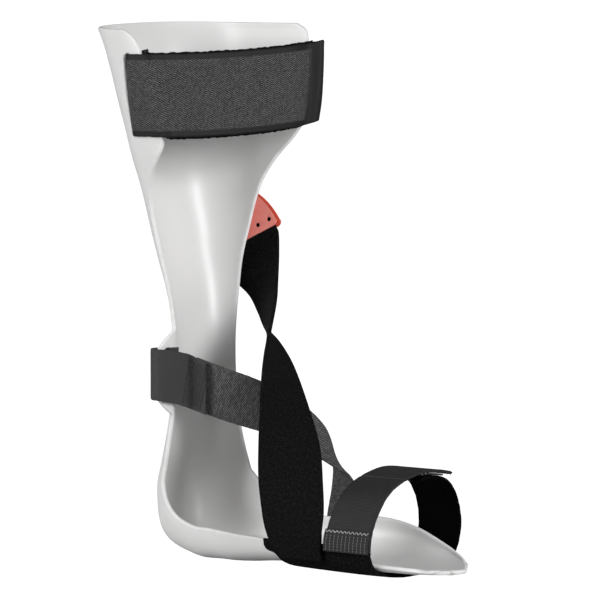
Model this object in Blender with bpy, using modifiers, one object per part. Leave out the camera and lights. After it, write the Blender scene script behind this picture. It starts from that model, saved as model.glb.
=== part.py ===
"""Ankle-foot orthosis for a right foot: a leaf-spring shell with a calf strap, an ankle strap, a forefoot
strap, and an elastic lift band hung from a swivelling clip.

Metres. +X points to the toes, +Y to the inner (far) side of the leg, +Z up. The heel stands on z = 0."""

import math

import bmesh
import bpy
import numpy as np
from mathutils import Matrix, Vector

NAME = "ankle_foot_orthosis"
MM = 0.001

# Driving sizes
SHELL_HEIGHT = 0.370
TOE_X = 0.1885  # tip of the sole plate, ahead of the heel pad's middle
WALL = 0.003
GAP = 0.0003
CALF_STRAP_WIDTH = 0.057
CALF_STRAP_DROP = 0.048
CALF_STRAP_Z = SHELL_HEIGHT - CALF_STRAP_DROP
ANKLE_STRAP_WIDTH = 0.036
ANKLE_STRAP_Z = 0.1285
LIFT_BAND_WIDTH = 0.050
FOREFOOT_STRAP_WIDTH = 0.038
WEBBING = 0.0022
LINING = 0.0014
PLUSH = 0.0026
SLING = 0.0026
HOOK = 0.0012
FLEX_AXIS_Z = 0.172
KNUCKLE_RADIUS = 0.0165
CLIP_THICKNESS = 0.0016
CLIP_TILT = math.radians(28)
CLIP_HOLES = 6
CLIP_HOLE_PITCH = 0.0093
CLIP_HOLE_RADIUS = 0.0016

SLING_LIFT = (SLING + 2 * GAP) / MM  # the plate stands this much higher over the sling, in mm

# Straps and clip: clearances, overlaps and the small sizes
STRAP_CLEAR = 0.0005
STRAP_SIDE_GAP = 0.0012
CALF_SLOT_INSET = 0.021
CALF_POINTS = 60
CALF_LINE_SPACING = 0.0143
CALF_RUN = (25, 48)
CALF_SLOT_WIDTH = 0.0075
CALF_BULGE = 0.006
CALF_FAR_RISE = 0.008
FOLD_REACH = 0.0100
TAB_LIFT = 0.0026
TAB_START = 0.019
TAB_LENGTH = 0.056
LOOP_WEBBING = 0.0015
EAR_HEIGHT = 0.054
EAR_REACH = 0.017
EAR_SLOT_OUT = 0.007
EAR_SLOT_WIDTH = 0.0065
CLIP_Z = 0.233
CLIP_INSET = 0.014
CLIP_SHIFT = -0.0024
CLIP_PIVOT_RISE = 0.018
CLIP_MARGIN = 0.0035
CLIP_HEIGHT = 0.042
CLIP_CLEAR = 0.0022
CLIP_HOLE_RISE = 0.0062
STUD_RADIUS = 0.004
STUD_CLEAR = 0.0004
STUD_START = 0.0004
STUD_CAP_RADIUS = 0.0065
STUD_CAP = 0.0018
LIFT_TUCK = 0.009
LIFT_STRAIGHT = 0.005
LIFT_POINTS = 73
LIFT_SPLIT = 18
SLING_REAR = 0.061
SLING_FRONT = 0.152
SLING_TOP = 0.022
SLING_REAR_SLANT = 0.020

# Edges of the lift band in mm, from the clip to the sole: it turns over once on its way to the near side
LIFT_RAIL_A = (
    (2.5, 47.0, 210), (10, 36, 193), (21, 20, 178), (33, -2, 158), (38, -13, 145), (42.5, -22, 130),
    (46, -29, 108), (50, -36, 84), (54, -41, 62), (59.5, -44.5, 43), (64.5, -46.6, 29), (71, -47.2, 18),
    (80, -47.2, 10),
)
LIFT_RAIL_B = (
    (-35, 43.5, 189), (-20, 42.5, 179), (-10, 40, 168), (-1.8, 38, 157), (12, 36, 147), (31.5, 27, 132),
    (57, 11.6, 106), (78, -3, 82), (98, -25.5, 60), (109, -39, 43.6), (112.2, -45.5, 30), (113.2, -47.2, 18),
    (113.2, -47.2, 10),
)
# Edges of the ankle strap in mm, from under the anchor loop's tail, over the instep, to the sole's far side
ANKLE_BAND_LOW = (
    (-23, -13, 101.5), (-10, -11.5, 98), (10, -8, 93), (27, -2, 88.5), (45, 8.5, 80), (59.5, 17.5, 72),
    (69, 26, 64.5), (72.5, 38, 57), (74, 45, 46), (74, 48.2, 35), (74, 48.6, 22),
)
ANKLE_BAND_HIGH = (
    (-23, -13, 139), (-12, -12, 136), (6, -9, 131), (25, -2.2, 124.5), (38.5, 11, 114.5), (48.5, 22.5, 104),
    (54.5, 30, 94), (54, 40, 80), (52.5, 45.5, 62), (49, 47.8, 46), (45.5, 48.2, 31), (44, 48.2, 20),
)
# The sewn tail of the anchor loop, over the start of the band, in mm
ANKLE_TAIL_LOW = ((-20, -18, 102), (-12, -16.5, 99.5))
ANKLE_TAIL_HIGH = ((-20, -18, 139.5), (-12, -16.5, 136.5))
# The forefoot strap's arch in mm, as (y, z) seen from the toes
FOREFOOT_NEAR = ((-46.6, 9), (-46.6, 20), (-44.5, 31), (-36, 46), (-25, 57), (-15, 62), (-8, 64.3))
FOREFOOT_FLAP = ((-7, 64.6), (2, 66.6), (17, 68.5), (34, 67.2), (47, 64.9))
FOREFOOT_HOOK = ((14, 66.1), (20, 66.3), (29, 65.6), (39, 64.1))
FOREFOOT_FAR = (
    (10, 63.4), (20, 64.2), (32, 63.2), (43, 59.0), (51.5, 49.5), (56, 38), (57, 29), (55, 19), (51, 11),
    (46.8, 7.6),
)
FOREFOOT_PATCH = ((-48.9, 18), (-48.7, 24), (-46.8, 31))

# Height of the turning point of the heel, above the origin: leg sections lie level above it, sole sections
# stand upright ahead of it
TURN_Z = 0.060

# Leg sections in mm from the rim down: share of the height above the turn, back x, depth of the near and
# far rounds, half widths near and far, x of the near and far trim edges
LEG = (
    (1.000, -104.0, 62, 62, 57.0, 64.0, -55.0, 5.0),
    (0.985, -101.5, 62, 62, 57.0, 64.0, -46.0, 14.0),
    (0.962, -98.0, 61, 61, 57.0, 63.0, -39.5, 17.5),
    (0.915, -92.5, 60, 60, 57.0, 62.0, -35.0, 18.5),
    (0.830, -84.5, 57, 57, 55.5, 59.0, -27.0, 19.0),
    (0.774, -79.5, 54, 54, 53.0, 57.0, -22.0, 17.5),
    (0.742, -77.0, 52, 52, 51.5, 55.5, -21.5, 11.0),
    (0.712, -74.5, 50, 50, 50.0, 54.0, -27.0, 2.0),
    (0.686, -72.5, 49, 49, 48.0, 52.0, -33.5, -4.5),
    (0.651, -69.0, 47, 47, 46.0, 50.0, -39.5, -11.5),
    (0.615, -66.0, 45, 45, 44.0, 48.0, -42.5, -15.5),
    (0.537, -59.5, 40, 40, 41.0, 45.5, -41.5, -21.5),
    (0.476, -54.3, 36, 36, 38.0, 41.5, -38.5, -24.0),
    (0.406, -48.0, 30, 30, 34.0, 38.0, -36.5, -24.5),
    (0.316, -43.8, 26, 27, 31.0, 35.0, -34.0, -25.0),
    (0.216, -44.0, 26, 27, 30.5, 34.5, -33.7, -24.8),
    (0.138, -45.7, 26, 27, 31.0, 34.5, -34.3, -23.0),
    (0.087, -48.5, 27, 29, 31.5, 34.0, -36.0, -20.0),
    (0.043, -51.6, 28, 30, 32.0, 33.5, -37.5, -16.0),
    (0.000, -55.2, 29, 32, 32.0, 33.5, -39.7, -11.5),
)
# Heel sections in mm: turn in degrees, distance of the shell from the turn, rounds, half widths, distances of
# the near and far trim edges from the turn
HEEL = (
    (22.5, 61.0, 29, 34, 32.0, 33.5, 41.0, 9.7),
    (45.0, 68.0, 28, 34, 32.0, 33.5, 40.5, 9.0),
    (67.5, 64.0, 25, 32, 32.0, 34.0, 38.5, 10.0),
)
# Sole sections in mm: share of the length ahead of the turn, bottom z, rounds, half widths, z of the near and
# far trim edges, y of the middle
SOLE = (
    (0.000, -1.0, 22, 30, 32.0, 34.5, 23.0, 46.5, 0.0),
    (0.079, -0.9, 20, 28, 32.5, 36.0, 22.0, 38.0, 0.0),
    (0.157, 0.0, 19, 26, 33.0, 37.5, 21.0, 32.0, 0.0),
    (0.251, 1.8, 18, 25, 34.5, 39.5, 20.5, 28.5, 0.0),
    (0.366, SLING_LIFT, 17, 25, 37.5, 41.5, 19.5, 29.0, 0.0),
    (0.508, SLING_LIFT, 15, 26, 40.5, 43.0, 16.5, 31.0, 0.0),
    (0.597, SLING_LIFT, 13, 25, 41.5, 43.5, 14.5, 29.5, 0.0),
    (0.681, SLING_LIFT, 11, 22, 41.5, 43.5, 12.5, 26.0, 0.0),
    (0.775, SLING_LIFT, 8.5, 16, 39.0, 42.5, 11.0, 19.5, 0.0),
    (0.859, 3.0, 6.5, 10, 33.5, 39.5, 9.5, 13.3, 0.5),
    (0.921, 2.4, 5.0, 6.5, 27.0, 31.5, 8.0, 9.2, 3.5),
    (0.969, 1.8, 4.0, 4.5, 18.5, 20.5, 6.4, 6.8, 8.5),
    (1.000, 1.6, 3.0, 3.0, 7.5, 7.5, 5.0, 5.0, 12.5),
)
# What turns with the leg, and what turns with the clip
LEG_PIECES = (
    "leg_shell", "calf_strap_band", "calf_strap_lining", "calf_hook_patch", "clip_stud", "clip_stud_cap",
)
CLIP_PIECES = ("clip_inner_plate", "clip_outer_plate", "lift_band_upper")

LEG_ROUND = 0.86  # power of the sections' rounds: 1 is an ellipse, less is squarer
SOLE_ROUND = 0.64
RIM_RISE = 0.035  # how much higher, per metre across, the leg sections stand on the far side


# ---------------------------------------------------------------- plain helpers


def clear_scene():
    for obj in list(bpy.data.objects):
        bpy.data.objects.remove(obj, do_unlink=True)


def new_collection(name, hidden=False):
    collection = bpy.data.collections.new(name)
    bpy.context.scene.collection.children.link(collection)
    collection.hide_render = hidden
    return collection


def plastic(name, colour, roughness):
    material = bpy.data.materials.new(name)
    material.use_nodes = True
    shader = material.node_tree.nodes["Principled BSDF"]
    shader.inputs["Base Color"].default_value = (*colour, 1.0)
    shader.inputs["Roughness"].default_value = roughness
    shader.inputs["Metallic"].default_value = 0.0
    return material


def unit(vectors):
    vectors = np.asarray(vectors, float)
    return vectors / np.linalg.norm(vectors, axis=-1, keepdims=True)


def hermite(knots, rows, at):
    """Rows of values on a smooth curve over the knots, with slopes from the neighbours on both sides."""
    knots = np.asarray(knots, float)
    rows = np.asarray(rows, float)
    slopes = np.gradient(rows, knots, axis=0)
    at = np.clip(np.asarray(at, float), knots[0], knots[-1])
    i = np.clip(np.searchsorted(knots, at, side="right") - 1, 0, len(knots) - 2)
    span = (knots[i + 1] - knots[i])[:, None]
    u = (at[:, None] - knots[i][:, None]) / span
    start = rows[i] * (2 * u**3 - 3 * u**2 + 1) + slopes[i] * span * (u**3 - 2 * u**2 + u)
    end = rows[i + 1] * (3 * u**2 - 2 * u**3) + slopes[i + 1] * span * (u**3 - u**2)
    return start + end


def smooth_path(points, count):
    """Evenly spaced points on a smooth curve through the given ones."""
    points = np.asarray(points, float)
    lengths = np.linalg.norm(np.diff(points, axis=0), axis=1)
    knots = np.concatenate([[0.0], np.cumsum(lengths)])
    fine = hermite(knots, points, np.linspace(0, knots[-1], 20 * len(points)))
    run = np.concatenate([[0.0], np.cumsum(np.linalg.norm(np.diff(fine, axis=0), axis=1))])
    at = np.linspace(0, run[-1], count)
    return np.stack([np.interp(at, run, fine[:, k]) for k in range(3)], axis=1)


def new_mesh_object(name, points, faces, material, collection):
    mesh = bpy.data.meshes.new(name)
    mesh.from_pydata([tuple(p) for p in points], [], faces)
    edit = bmesh.new()
    edit.from_mesh(mesh)
    bmesh.ops.recalc_face_normals(edit, faces=edit.faces)
    edit.to_mesh(mesh)
    edit.free()
    mesh.materials.append(material)
    obj = bpy.data.objects.new(name, mesh)
    collection.objects.link(obj)
    return obj


def shade(obj):
    obj.data.shade_smooth()
    obj.data.set_sharp_from_angle(angle=math.radians(35))


def set_origin(obj, point):
    """Puts an object's origin on its joint's axis and leaves its shape where it is."""
    obj.data.transform(Matrix.Translation(-Vector(point)))
    obj.location = Vector(point)


# ---------------------------------------------------------------- the shell's surface


def stations():
    """Every section in one form: knot, x and z of its origin, turn, shell distance, near and far rounds, half
    widths and trim distances, and the y of its middle."""
    rows = []
    for share, back, round_n, round_f, half_n, half_f, edge_n, edge_f in LEG:
        z = TURN_Z + share * (SHELL_HEIGHT - TURN_Z)
        rows.append((0.0, z, 0.0, -back, round_n, round_f, half_n, half_f, -edge_n, -edge_f, 0))
    for turn, distance, round_n, round_f, half_n, half_f, edge_n, edge_f in HEEL:
        rows.append((0.0, TURN_Z, turn, distance, round_n, round_f, half_n, half_f, edge_n, edge_f, 0))
    for share, bottom, round_n, round_f, half_n, half_f, top_n, top_f, middle in SOLE:
        base = TURN_Z / MM
        sides = (round_n, round_f, half_n, half_f, base - top_n, base - top_f)
        rows.append((share * TOE_X, TURN_Z, 90.0, base - bottom, *sides, middle))
    table = np.array(rows, float)
    table[:, 2] = np.radians(table[:, 2])
    table[:, 3:] *= MM
    step = np.hypot(np.diff(table[:, 0]), np.diff(table[:, 1])) + np.diff(table[:, 2]) * 0.055
    return np.concatenate([[0.0], np.cumsum(step)]), table


KNOTS, TABLE = stations()


def side_profile(distance, round_depth, half, edge, power, share):
    """(distance, sideways) at a share of the way from the middle of the shell to one trim edge."""
    angle = np.linspace(0, math.pi / 2, 40)
    out = distance - round_depth * (1 - np.cos(angle) ** power)
    across = half * np.sin(angle) ** power
    out = np.append(out, min(edge, distance - round_depth) - 1e-6)
    across = np.append(across, half)
    keep = out > edge
    last = int(keep.sum())
    mix = (out[last - 1] - edge) / max(out[last - 1] - out[min(last, len(out) - 1)], 1e-9)
    end_across = across[last - 1] + (across[min(last, len(out) - 1)] - across[last - 1]) * min(mix, 1.0)
    out = np.append(out[:last], edge)
    across = np.append(across[:last], end_across)
    run = np.concatenate([[0.0], np.cumsum(np.hypot(np.diff(out), np.diff(across)))])
    return np.interp(share * run[-1], run, out), np.interp(share * run[-1], run, across)


def shell_point(knot, across):
    """A point of the outer surface. across runs from -1, the near trim edge, to 1, the far one. The heel is
    worn flat where it would reach below z = 0: that is the pad it stands on."""
    x, z, turn, distance, *sides, middle = hermite(KNOTS, TABLE, [knot])[0]
    round_n, round_f, half_n, half_f, edge_n, edge_f = sides
    power = LEG_ROUND + (SOLE_ROUND - LEG_ROUND) * turn / (math.pi / 2)
    if across < 0:
        out, sideways = side_profile(distance, round_n, half_n, edge_n, power, -across)
        sideways = -sideways
    else:
        out, sideways = side_profile(distance, round_f, half_f, edge_f, power, across)
    y = middle + sideways
    rise = RIM_RISE * y * max(0.0, (z - TURN_Z) / (SHELL_HEIGHT - TURN_Z))
    return np.array([x - out * math.cos(turn), y, max(0.0, z + rise - out * math.sin(turn))])


def shell_normal(knot, across):
    """Outward unit normal of the shell."""
    step = 1e-3
    knot = min(max(knot, step), KNOTS[-1] - step)
    across = min(max(across, -1 + step), 1 - step)
    along = shell_point(knot + step, across) - shell_point(knot - step, across)
    sideways = shell_point(knot, across + step) - shell_point(knot, across - step)
    return unit(np.cross(sideways, along))


def off_shell(knot, across, lift):
    """A point this far outside the shell, or inside it where lift is negative."""
    return shell_point(knot, across) + shell_normal(knot, across) * lift


def leg_knot(z):
    """The knot of the leg section at this height."""
    return float(np.interp(z, TABLE[: len(LEG), 1][::-1], KNOTS[: len(LEG)][::-1]))


def sole_knot(x):
    """The knot of the sole section at this x."""
    start = len(LEG) + len(HEEL)
    return float(np.interp(x, TABLE[start:, 0], KNOTS[start:]))


def level_point(z, across, lift):
    """A point off the leg's shell, at the height z itself."""
    knot = leg_knot(z)
    for _ in range(4):
        knot += off_shell(knot, across, lift)[2] - z
    return off_shell(knot, across, lift)


def across_at(knot, inset, side):
    """The across value this far in from a trim edge, measured along the shell."""
    samples = np.linspace(1.0, 0.2, 60) * side
    points = np.array([shell_point(knot, a) for a in samples])
    run = np.concatenate([[0.0], np.cumsum(np.linalg.norm(np.diff(points, axis=0), axis=1))])
    return float(np.interp(inset, run, samples))


# ---------------------------------------------------------------- shell solids


def surface_grid(rows, columns):
    knots = np.linspace(0, KNOTS[-1], rows)
    across = np.linspace(-1, 1, columns)
    return [shell_point(k, a) for k in knots for a in across]


def grid_faces(rows, columns):
    faces = []
    for i in range(rows - 1):
        for j in range(columns - 1):
            here = i * columns + j
            faces.append((here, here + 1, here + columns + 1, here + columns))
    return faces


def slab(points_in, points_out):
    """Faces and points of a closed slab between two equal grids given as lists of rows."""
    rows = len(points_in)
    columns = len(points_in[0])
    flat = [p for row in points_in for p in row] + [p for row in points_out for p in row]
    size = rows * columns
    faces = []
    for a, b, c, d in grid_faces(rows, columns):
        faces.append((a, b, c, d))
        faces.append((d + size, c + size, b + size, a + size))
    rim = list(range(columns))
    rim += [i * columns + columns - 1 for i in range(1, rows)]
    rim += [(rows - 1) * columns + j for j in range(columns - 2, -1, -1)]
    rim += [i * columns for i in range(rows - 2, 0, -1)]
    for a, b in zip(rim, rim[1:] + rim[:1]):
        faces.append((b, a, a + size, b + size))
    return flat, faces


def prism_faces(count):
    """Faces of a prism between two equal outlines of this many points."""
    faces = [tuple(range(count)), tuple(range(2 * count - 1, count - 1, -1))]
    faces += [(i, (i + 1) % count, count + (i + 1) % count, count + i) for i in range(count)]
    return faces


def boolean(obj, operation, other):
    modifier = obj.modifiers.new(operation.title(), "BOOLEAN")
    modifier.operation = operation
    modifier.solver = "EXACT"
    modifier.object = other


def hide_cutter(obj):
    obj.hide_render = True
    obj.display_type = "WIRE"


def flex_axis():
    """The point on the flex axis at y = 0: half way between the strut's back and its trim edges."""
    knot = leg_knot(FLEX_AXIS_Z)
    back = shell_point(knot, 0)[0]
    front = max(shell_point(knot, -1)[0], shell_point(knot, 1)[0])
    return np.array([(back + front) / 2, 0.0, FLEX_AXIS_Z])


def knuckle_cutter(name, radius, material, collection):
    """All of the space above the flex axis, and a half round of this radius below it."""
    centre = flex_axis()
    outline = [(-0.3, centre[2])]
    for step in range(25):
        angle = math.pi * (1 + step / 24)
        outline.append((centre[0] + radius * math.cos(angle), centre[2] + radius * math.sin(angle)))
    outline += [(0.4, centre[2]), (0.4, centre[2] + 0.6), (-0.3, centre[2] + 0.6)]
    near = [(x, -0.15, z) for x, z in outline]
    far = [(x, 0.15, z) for x, z in outline]
    cutter = new_mesh_object(name, near + far, prism_faces(len(outline)), material, collection)
    hide_cutter(cutter)
    return cutter


def calf_slot_x():
    """The calf strap's slot stands upright in the near wall, at this x."""
    return shell_point(leg_knot(CALF_STRAP_Z), -1)[0] - CALF_SLOT_INSET


def across_at_x(z, x):
    """The across value on the near wall where the shell reaches this x, at the height z."""
    samples = np.linspace(-1.0, -0.3, 60)
    found = np.array([level_point(z, a, 0)[0] for a in samples])
    return float(np.interp(-x, -found, samples))


def slot_cutter(material, collection):
    """The slot in the near wall that the calf strap threads through."""
    half = CALF_STRAP_WIDTH / 2 + STRAP_SIDE_GAP
    inner, outer = [], []
    for z in np.linspace(CALF_STRAP_Z - half, CALF_STRAP_Z + half, 7):
        edges = [across_at_x(z, calf_slot_x() + side * CALF_SLOT_WIDTH / 2) for side in (1, -1)]
        inner.append([level_point(z, a, -2.5 * WALL) for a in edges])
        outer.append([level_point(z, a, 1.5 * WALL) for a in edges])
    points, faces = slab(inner, outer)
    cutter = new_mesh_object("calf_slot_cutter", points, faces, material, collection)
    hide_cutter(cutter)
    return cutter


EAR_OUT = unit([-0.30, -0.95, 0.0])
EAR_FRONT = unit([0.95, -0.30, 0.0])


def ear_root(z):
    """Mid-wall point at the strut's near trim edge."""
    return level_point(z, -1, -WALL / 2)


def ear_place(out, front, z):
    """A point beside the ear: this far outwards from the strut's edge and in front of the ear's middle."""
    root = ear_root(ANKLE_STRAP_Z)
    return np.array([*(root + EAR_OUT * out + EAR_FRONT * front)[:2], z])


def ear_slab(material, collection):
    """The D-shaped flange on the strut's near edge that carries the ankle strap."""
    half = EAR_HEIGHT / 2
    rows_front, rows_back = [], []
    for z in np.linspace(-half, half, 17):
        reach = EAR_REACH * max(1 - abs(z / half) ** 2.4, 0.0) ** (1 / 2.4)
        root = ear_root(ANKLE_STRAP_Z + z)
        start = -0.6 * WALL
        spots = [root + EAR_OUT * (start + (reach - start) * share) for share in (0, 0.33, 0.66, 1)]
        rows_front.append([p + EAR_FRONT * WALL * 0.48 for p in spots])
        rows_back.append([p - EAR_FRONT * WALL * 0.48 for p in spots])
    points, faces = slab(rows_back, rows_front)
    ear = new_mesh_object("ear_solid", points, faces, material, collection)
    hide_cutter(ear)
    return ear


def ear_slot_cutter(material, collection):
    half = ANKLE_STRAP_WIDTH / 2 + STRAP_SIDE_GAP
    low, high = ANKLE_STRAP_Z - half, ANKLE_STRAP_Z + half
    sides = (EAR_SLOT_OUT - EAR_SLOT_WIDTH / 2, EAR_SLOT_OUT + EAR_SLOT_WIDTH / 2)
    back = [[ear_place(out, -3 * WALL, z) for out in sides] for z in (low, high)]
    front = [[ear_place(out, 3 * WALL, z) for out in sides] for z in (low, high)]
    points, faces = slab(back, front)
    cutter = new_mesh_object("ear_slot_cutter", points, faces, material, collection)
    hide_cutter(cutter)
    return cutter


def make_shell(name, material, collection):
    rows, columns = 64, 19
    mesh = bpy.data.meshes.new(name)
    mesh.from_pydata([tuple(p) for p in surface_grid(rows, columns)], [], grid_faces(rows, columns))
    mesh.materials.append(material)
    obj = bpy.data.objects.new(name, mesh)
    collection.objects.link(obj)
    solidify = obj.modifiers.new("Wall", "SOLIDIFY")
    solidify.thickness = WALL
    solidify.offset = -1
    solidify.use_even_offset = True
    return obj


def make_shells(white, parts, cutters):
    """One moulding in two nodes that meet at a round knuckle, where the real strut bends."""
    leg = make_shell("leg_shell", white, parts)
    boolean(leg, "INTERSECT", knuckle_cutter("leg_keep", KNUCKLE_RADIUS, white, cutters))
    boolean(leg, "DIFFERENCE", slot_cutter(white, cutters))
    foot = make_shell("foot_shell", white, parts)
    boolean(foot, "DIFFERENCE", knuckle_cutter("foot_socket", KNUCKLE_RADIUS + GAP, white, cutters))
    boolean(foot, "UNION", ear_slab(white, cutters))
    boolean(foot, "DIFFERENCE", ear_slot_cutter(white, cutters))


# ---------------------------------------------------------------- webbing


def webbing(name, rails, thickness, material, collection, lift=0.0):
    """A strap through two or more rails of equal length, its middle lifted off them along its face normal."""
    grid = np.stack([np.asarray(rail, float) for rail in rails], axis=1)
    normal = strap_normals(grid)
    front = grid + normal * (lift + thickness / 2)
    back = grid + normal * (lift - thickness / 2)
    points, faces = slab(list(back), list(front))
    return new_mesh_object(name, points, faces, material, collection)


def strap_normals(grid):
    along = np.gradient(grid, axis=0)
    sideways = np.gradient(grid, axis=1)
    return unit(np.cross(along, sideways))


def calf_rail(z):
    """One line of the calf strap at this height: through the slot, over to the far wall, round the fold."""
    slot = across_at_x(z, calf_slot_x())
    inside = -(WALL + STRAP_CLEAR + WEBBING / 2)
    outside = STRAP_CLEAR + WEBBING / 2
    edge = level_point(z, -1, 0)
    ahead = unit(edge - level_point(z, -0.94, 0))
    turn = (slot + 1) * 0.10
    points = [
        level_point(z, -1, inside) + ahead * 0.007,
        level_point(z, -1, inside),
        level_point(z, (slot - 1) / 2, inside),
        level_point(z, slot - turn, inside),
        level_point(z, slot, -WALL / 2),
        level_point(z, slot - turn, outside),
        level_point(z, (slot - 1) / 2, outside),
        level_point(z, -1, outside),
        level_point(z, -1, outside) + ahead * 0.006,
    ]
    far_z = z + CALF_FAR_RISE
    far_knot = leg_knot(far_z)
    fold = level_point(far_z, 1, 0) + np.array([FOLD_REACH, 0.002, 0])
    start = points[-1]
    for share in (0.12, 0.3, 0.5, 0.7, 0.88):
        bulge = CALF_BULGE * math.sin(math.pi * share)
        sag = CALF_FAR_RISE * (share**2.2 - share)
        points.append(start + (fold - start) * share + np.array([bulge * 0.8, -bulge * 0.6, sag]))
    back = level_point(far_z, across_at(far_knot, 0.010, 1), STRAP_CLEAR + TAB_LIFT)
    points.append(fold)
    points.append((fold + back) / 2 + np.array([0.0015, 0.0028, 0]))
    points.append(back)
    points.append(level_point(far_z, across_at(far_knot, TAB_START - 0.003, 1), STRAP_CLEAR + TAB_LIFT))
    return smooth_path(points, CALF_POINTS)


def calf_heights(margin, rise):
    """Heights of lines across the calf strap, this far in from its edges."""
    half = CALF_STRAP_WIDTH / 2 - margin
    count = 1 + math.ceil(CALF_STRAP_WIDTH / CALF_LINE_SPACING)
    return np.linspace(CALF_STRAP_Z - half, CALF_STRAP_Z + half, count) + rise


def make_calf_strap(materials, collection):
    rails = [calf_rail(z) for z in calf_heights(0, 0)]
    webbing("calf_strap_band", rails, WEBBING, materials["webbing"], collection)
    run = [rail[CALF_RUN[0] : CALF_RUN[1]] for rail in rails]
    under = WEBBING / 2 + GAP + LINING / 2
    webbing("calf_strap_lining", run, LINING, materials["plush"], collection, under * leg_side(run))
    make_calf_tab(materials, collection)


def leg_side(run):
    """1 where the strap's normals point back at the leg, else -1."""
    grid = np.stack(run, axis=1)
    middle = len(grid) // 2
    to_leg = shell_point(leg_knot(CALF_STRAP_Z), 0) - grid[middle, 0]
    return 1.0 if float(np.dot(strap_normals(grid)[middle, 0], to_leg)) > 0 else -1.0


def wall_rail(z, insets, side, lift):
    knot = leg_knot(z)
    return np.array([level_point(z, across_at(knot, inset, side), lift) for inset in insets])


def make_calf_tab(materials, collection):
    """The pull tab on the outside of the far wall, and the hook patch beneath it."""
    insets = np.linspace(TAB_START, TAB_START + TAB_LENGTH, 14)
    rails = [wall_rail(z, insets, 1, STRAP_CLEAR + TAB_LIFT) for z in calf_heights(0.001, CALF_FAR_RISE)]
    webbing("calf_strap_tab", rails, WEBBING, materials["webbing"], collection)
    insets = np.linspace(TAB_START + 0.010, TAB_START + TAB_LENGTH - 0.008, 10)
    rails = [wall_rail(z, insets, 1, STRAP_CLEAR + HOOK / 2) for z in calf_heights(0.006, CALF_FAR_RISE)]
    webbing("calf_hook_patch", rails, HOOK, materials["hook"], collection)


def ankle_loop_rail(z):
    """One edge of the loop of webbing through the ear. Its outer layer drops towards the band it is sewn to."""
    near_side = WALL / 2 + STRAP_CLEAR + LOOP_WEBBING / 2
    over = near_side + LOOP_WEBBING + STRAP_CLEAR
    fold = EAR_REACH + STRAP_CLEAR + LOOP_WEBBING
    places = [
        (-0.001, near_side, 0.0),
        (EAR_SLOT_OUT - 0.0034, near_side, 0.0),
        (EAR_SLOT_OUT - 0.0012, near_side * 0.6, 0.0),
        (EAR_SLOT_OUT + 0.0012, -near_side * 0.6, 0.0),
        (EAR_SLOT_OUT + 0.0034, -near_side, 0.0),
        (EAR_REACH - 0.001, -near_side, 0.0),
        (fold, -0.001, 0.0),
        (fold - 0.001, near_side, 0.0004),
        (EAR_REACH - 0.004, over, 0.0010),
        (EAR_SLOT_OUT, over + 0.0006, 0.0018),
        (0.0, over + 0.0006, 0.0032),
        (-0.008, over + 0.0008, 0.0052),
    ]
    steeper = 1.35 if z < ANKLE_STRAP_Z else 1.0
    return [ear_place(out, front, z - drop * steeper) for out, front, drop in places]


def make_ankle_strap(materials, collection):
    half = ANKLE_STRAP_WIDTH / 2
    rails = []
    for side, tail in ((-1, ANKLE_TAIL_LOW), (1, ANKLE_TAIL_HIGH)):
        loop = ankle_loop_rail(ANKLE_STRAP_Z + half * side)
        rails.append(smooth_path(loop + [np.array(p) * MM for p in tail], 44))
    webbing("ankle_anchor_loop", rails, LOOP_WEBBING, materials["webbing"], collection)
    rails = [smooth_path([np.array(p) * MM for p in edge], 44) for edge in (ANKLE_BAND_LOW, ANKLE_BAND_HIGH)]
    webbing("ankle_strap_band", rails, WEBBING, materials["webbing"], collection)


def clip_frame():
    """Middle of the clip's lower edge, its directions along that edge, up it and out of it, and its pivot."""
    knot = leg_knot(CLIP_Z)
    across = across_at(knot, CLIP_INSET, 1)
    out = shell_normal(knot, across)
    level = unit(np.cross(out, [0, 0, 1.0]))
    level = level if level[0] > 0 else -level
    up = unit(np.cross(out, level))
    up = up if up[2] > 0 else -up
    edge = level * math.cos(CLIP_TILT) + up * math.sin(CLIP_TILT)
    rise = -level * math.sin(CLIP_TILT) + up * math.cos(CLIP_TILT)
    pivot = off_shell(knot, across, 0.0)
    middle = pivot + edge * CLIP_SHIFT - rise * CLIP_PIVOT_RISE
    return middle, edge, rise, out, pivot


def clip_outline(count):
    """The clip's dome in its own plane, from one end of the lower edge over the top to the other."""
    half = LIFT_BAND_WIDTH / 2 + CLIP_MARGIN
    points = []
    for step in range(count + 1):
        angle = math.pi * step / count
        points.append((half * math.cos(angle), CLIP_HEIGHT * math.sin(angle)))
    return points


def plate(name, outline, lift_low, lift_high, material, collection):
    """A flat plate in the clip's plane, between two lifts off the wall."""
    middle, edge, rise, out, _ = clip_frame()
    low = [middle + edge * a + rise * b + out * lift_low for a, b in outline]
    high = [middle + edge * a + rise * b + out * lift_high for a, b in outline]
    return new_mesh_object(name, low + high, prism_faces(len(outline)), material, collection)


def round_bar(name, place, radius, start, end, material, collection, sides=24):
    """A short round bar square to the clip, at a place in its plane."""
    turns = [2 * math.pi * k / sides for k in range(sides)]
    ring = [(place[0] + radius * math.cos(a), place[1] + radius * math.sin(a)) for a in turns]
    return plate(name, ring, start, end, material, collection)


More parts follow.
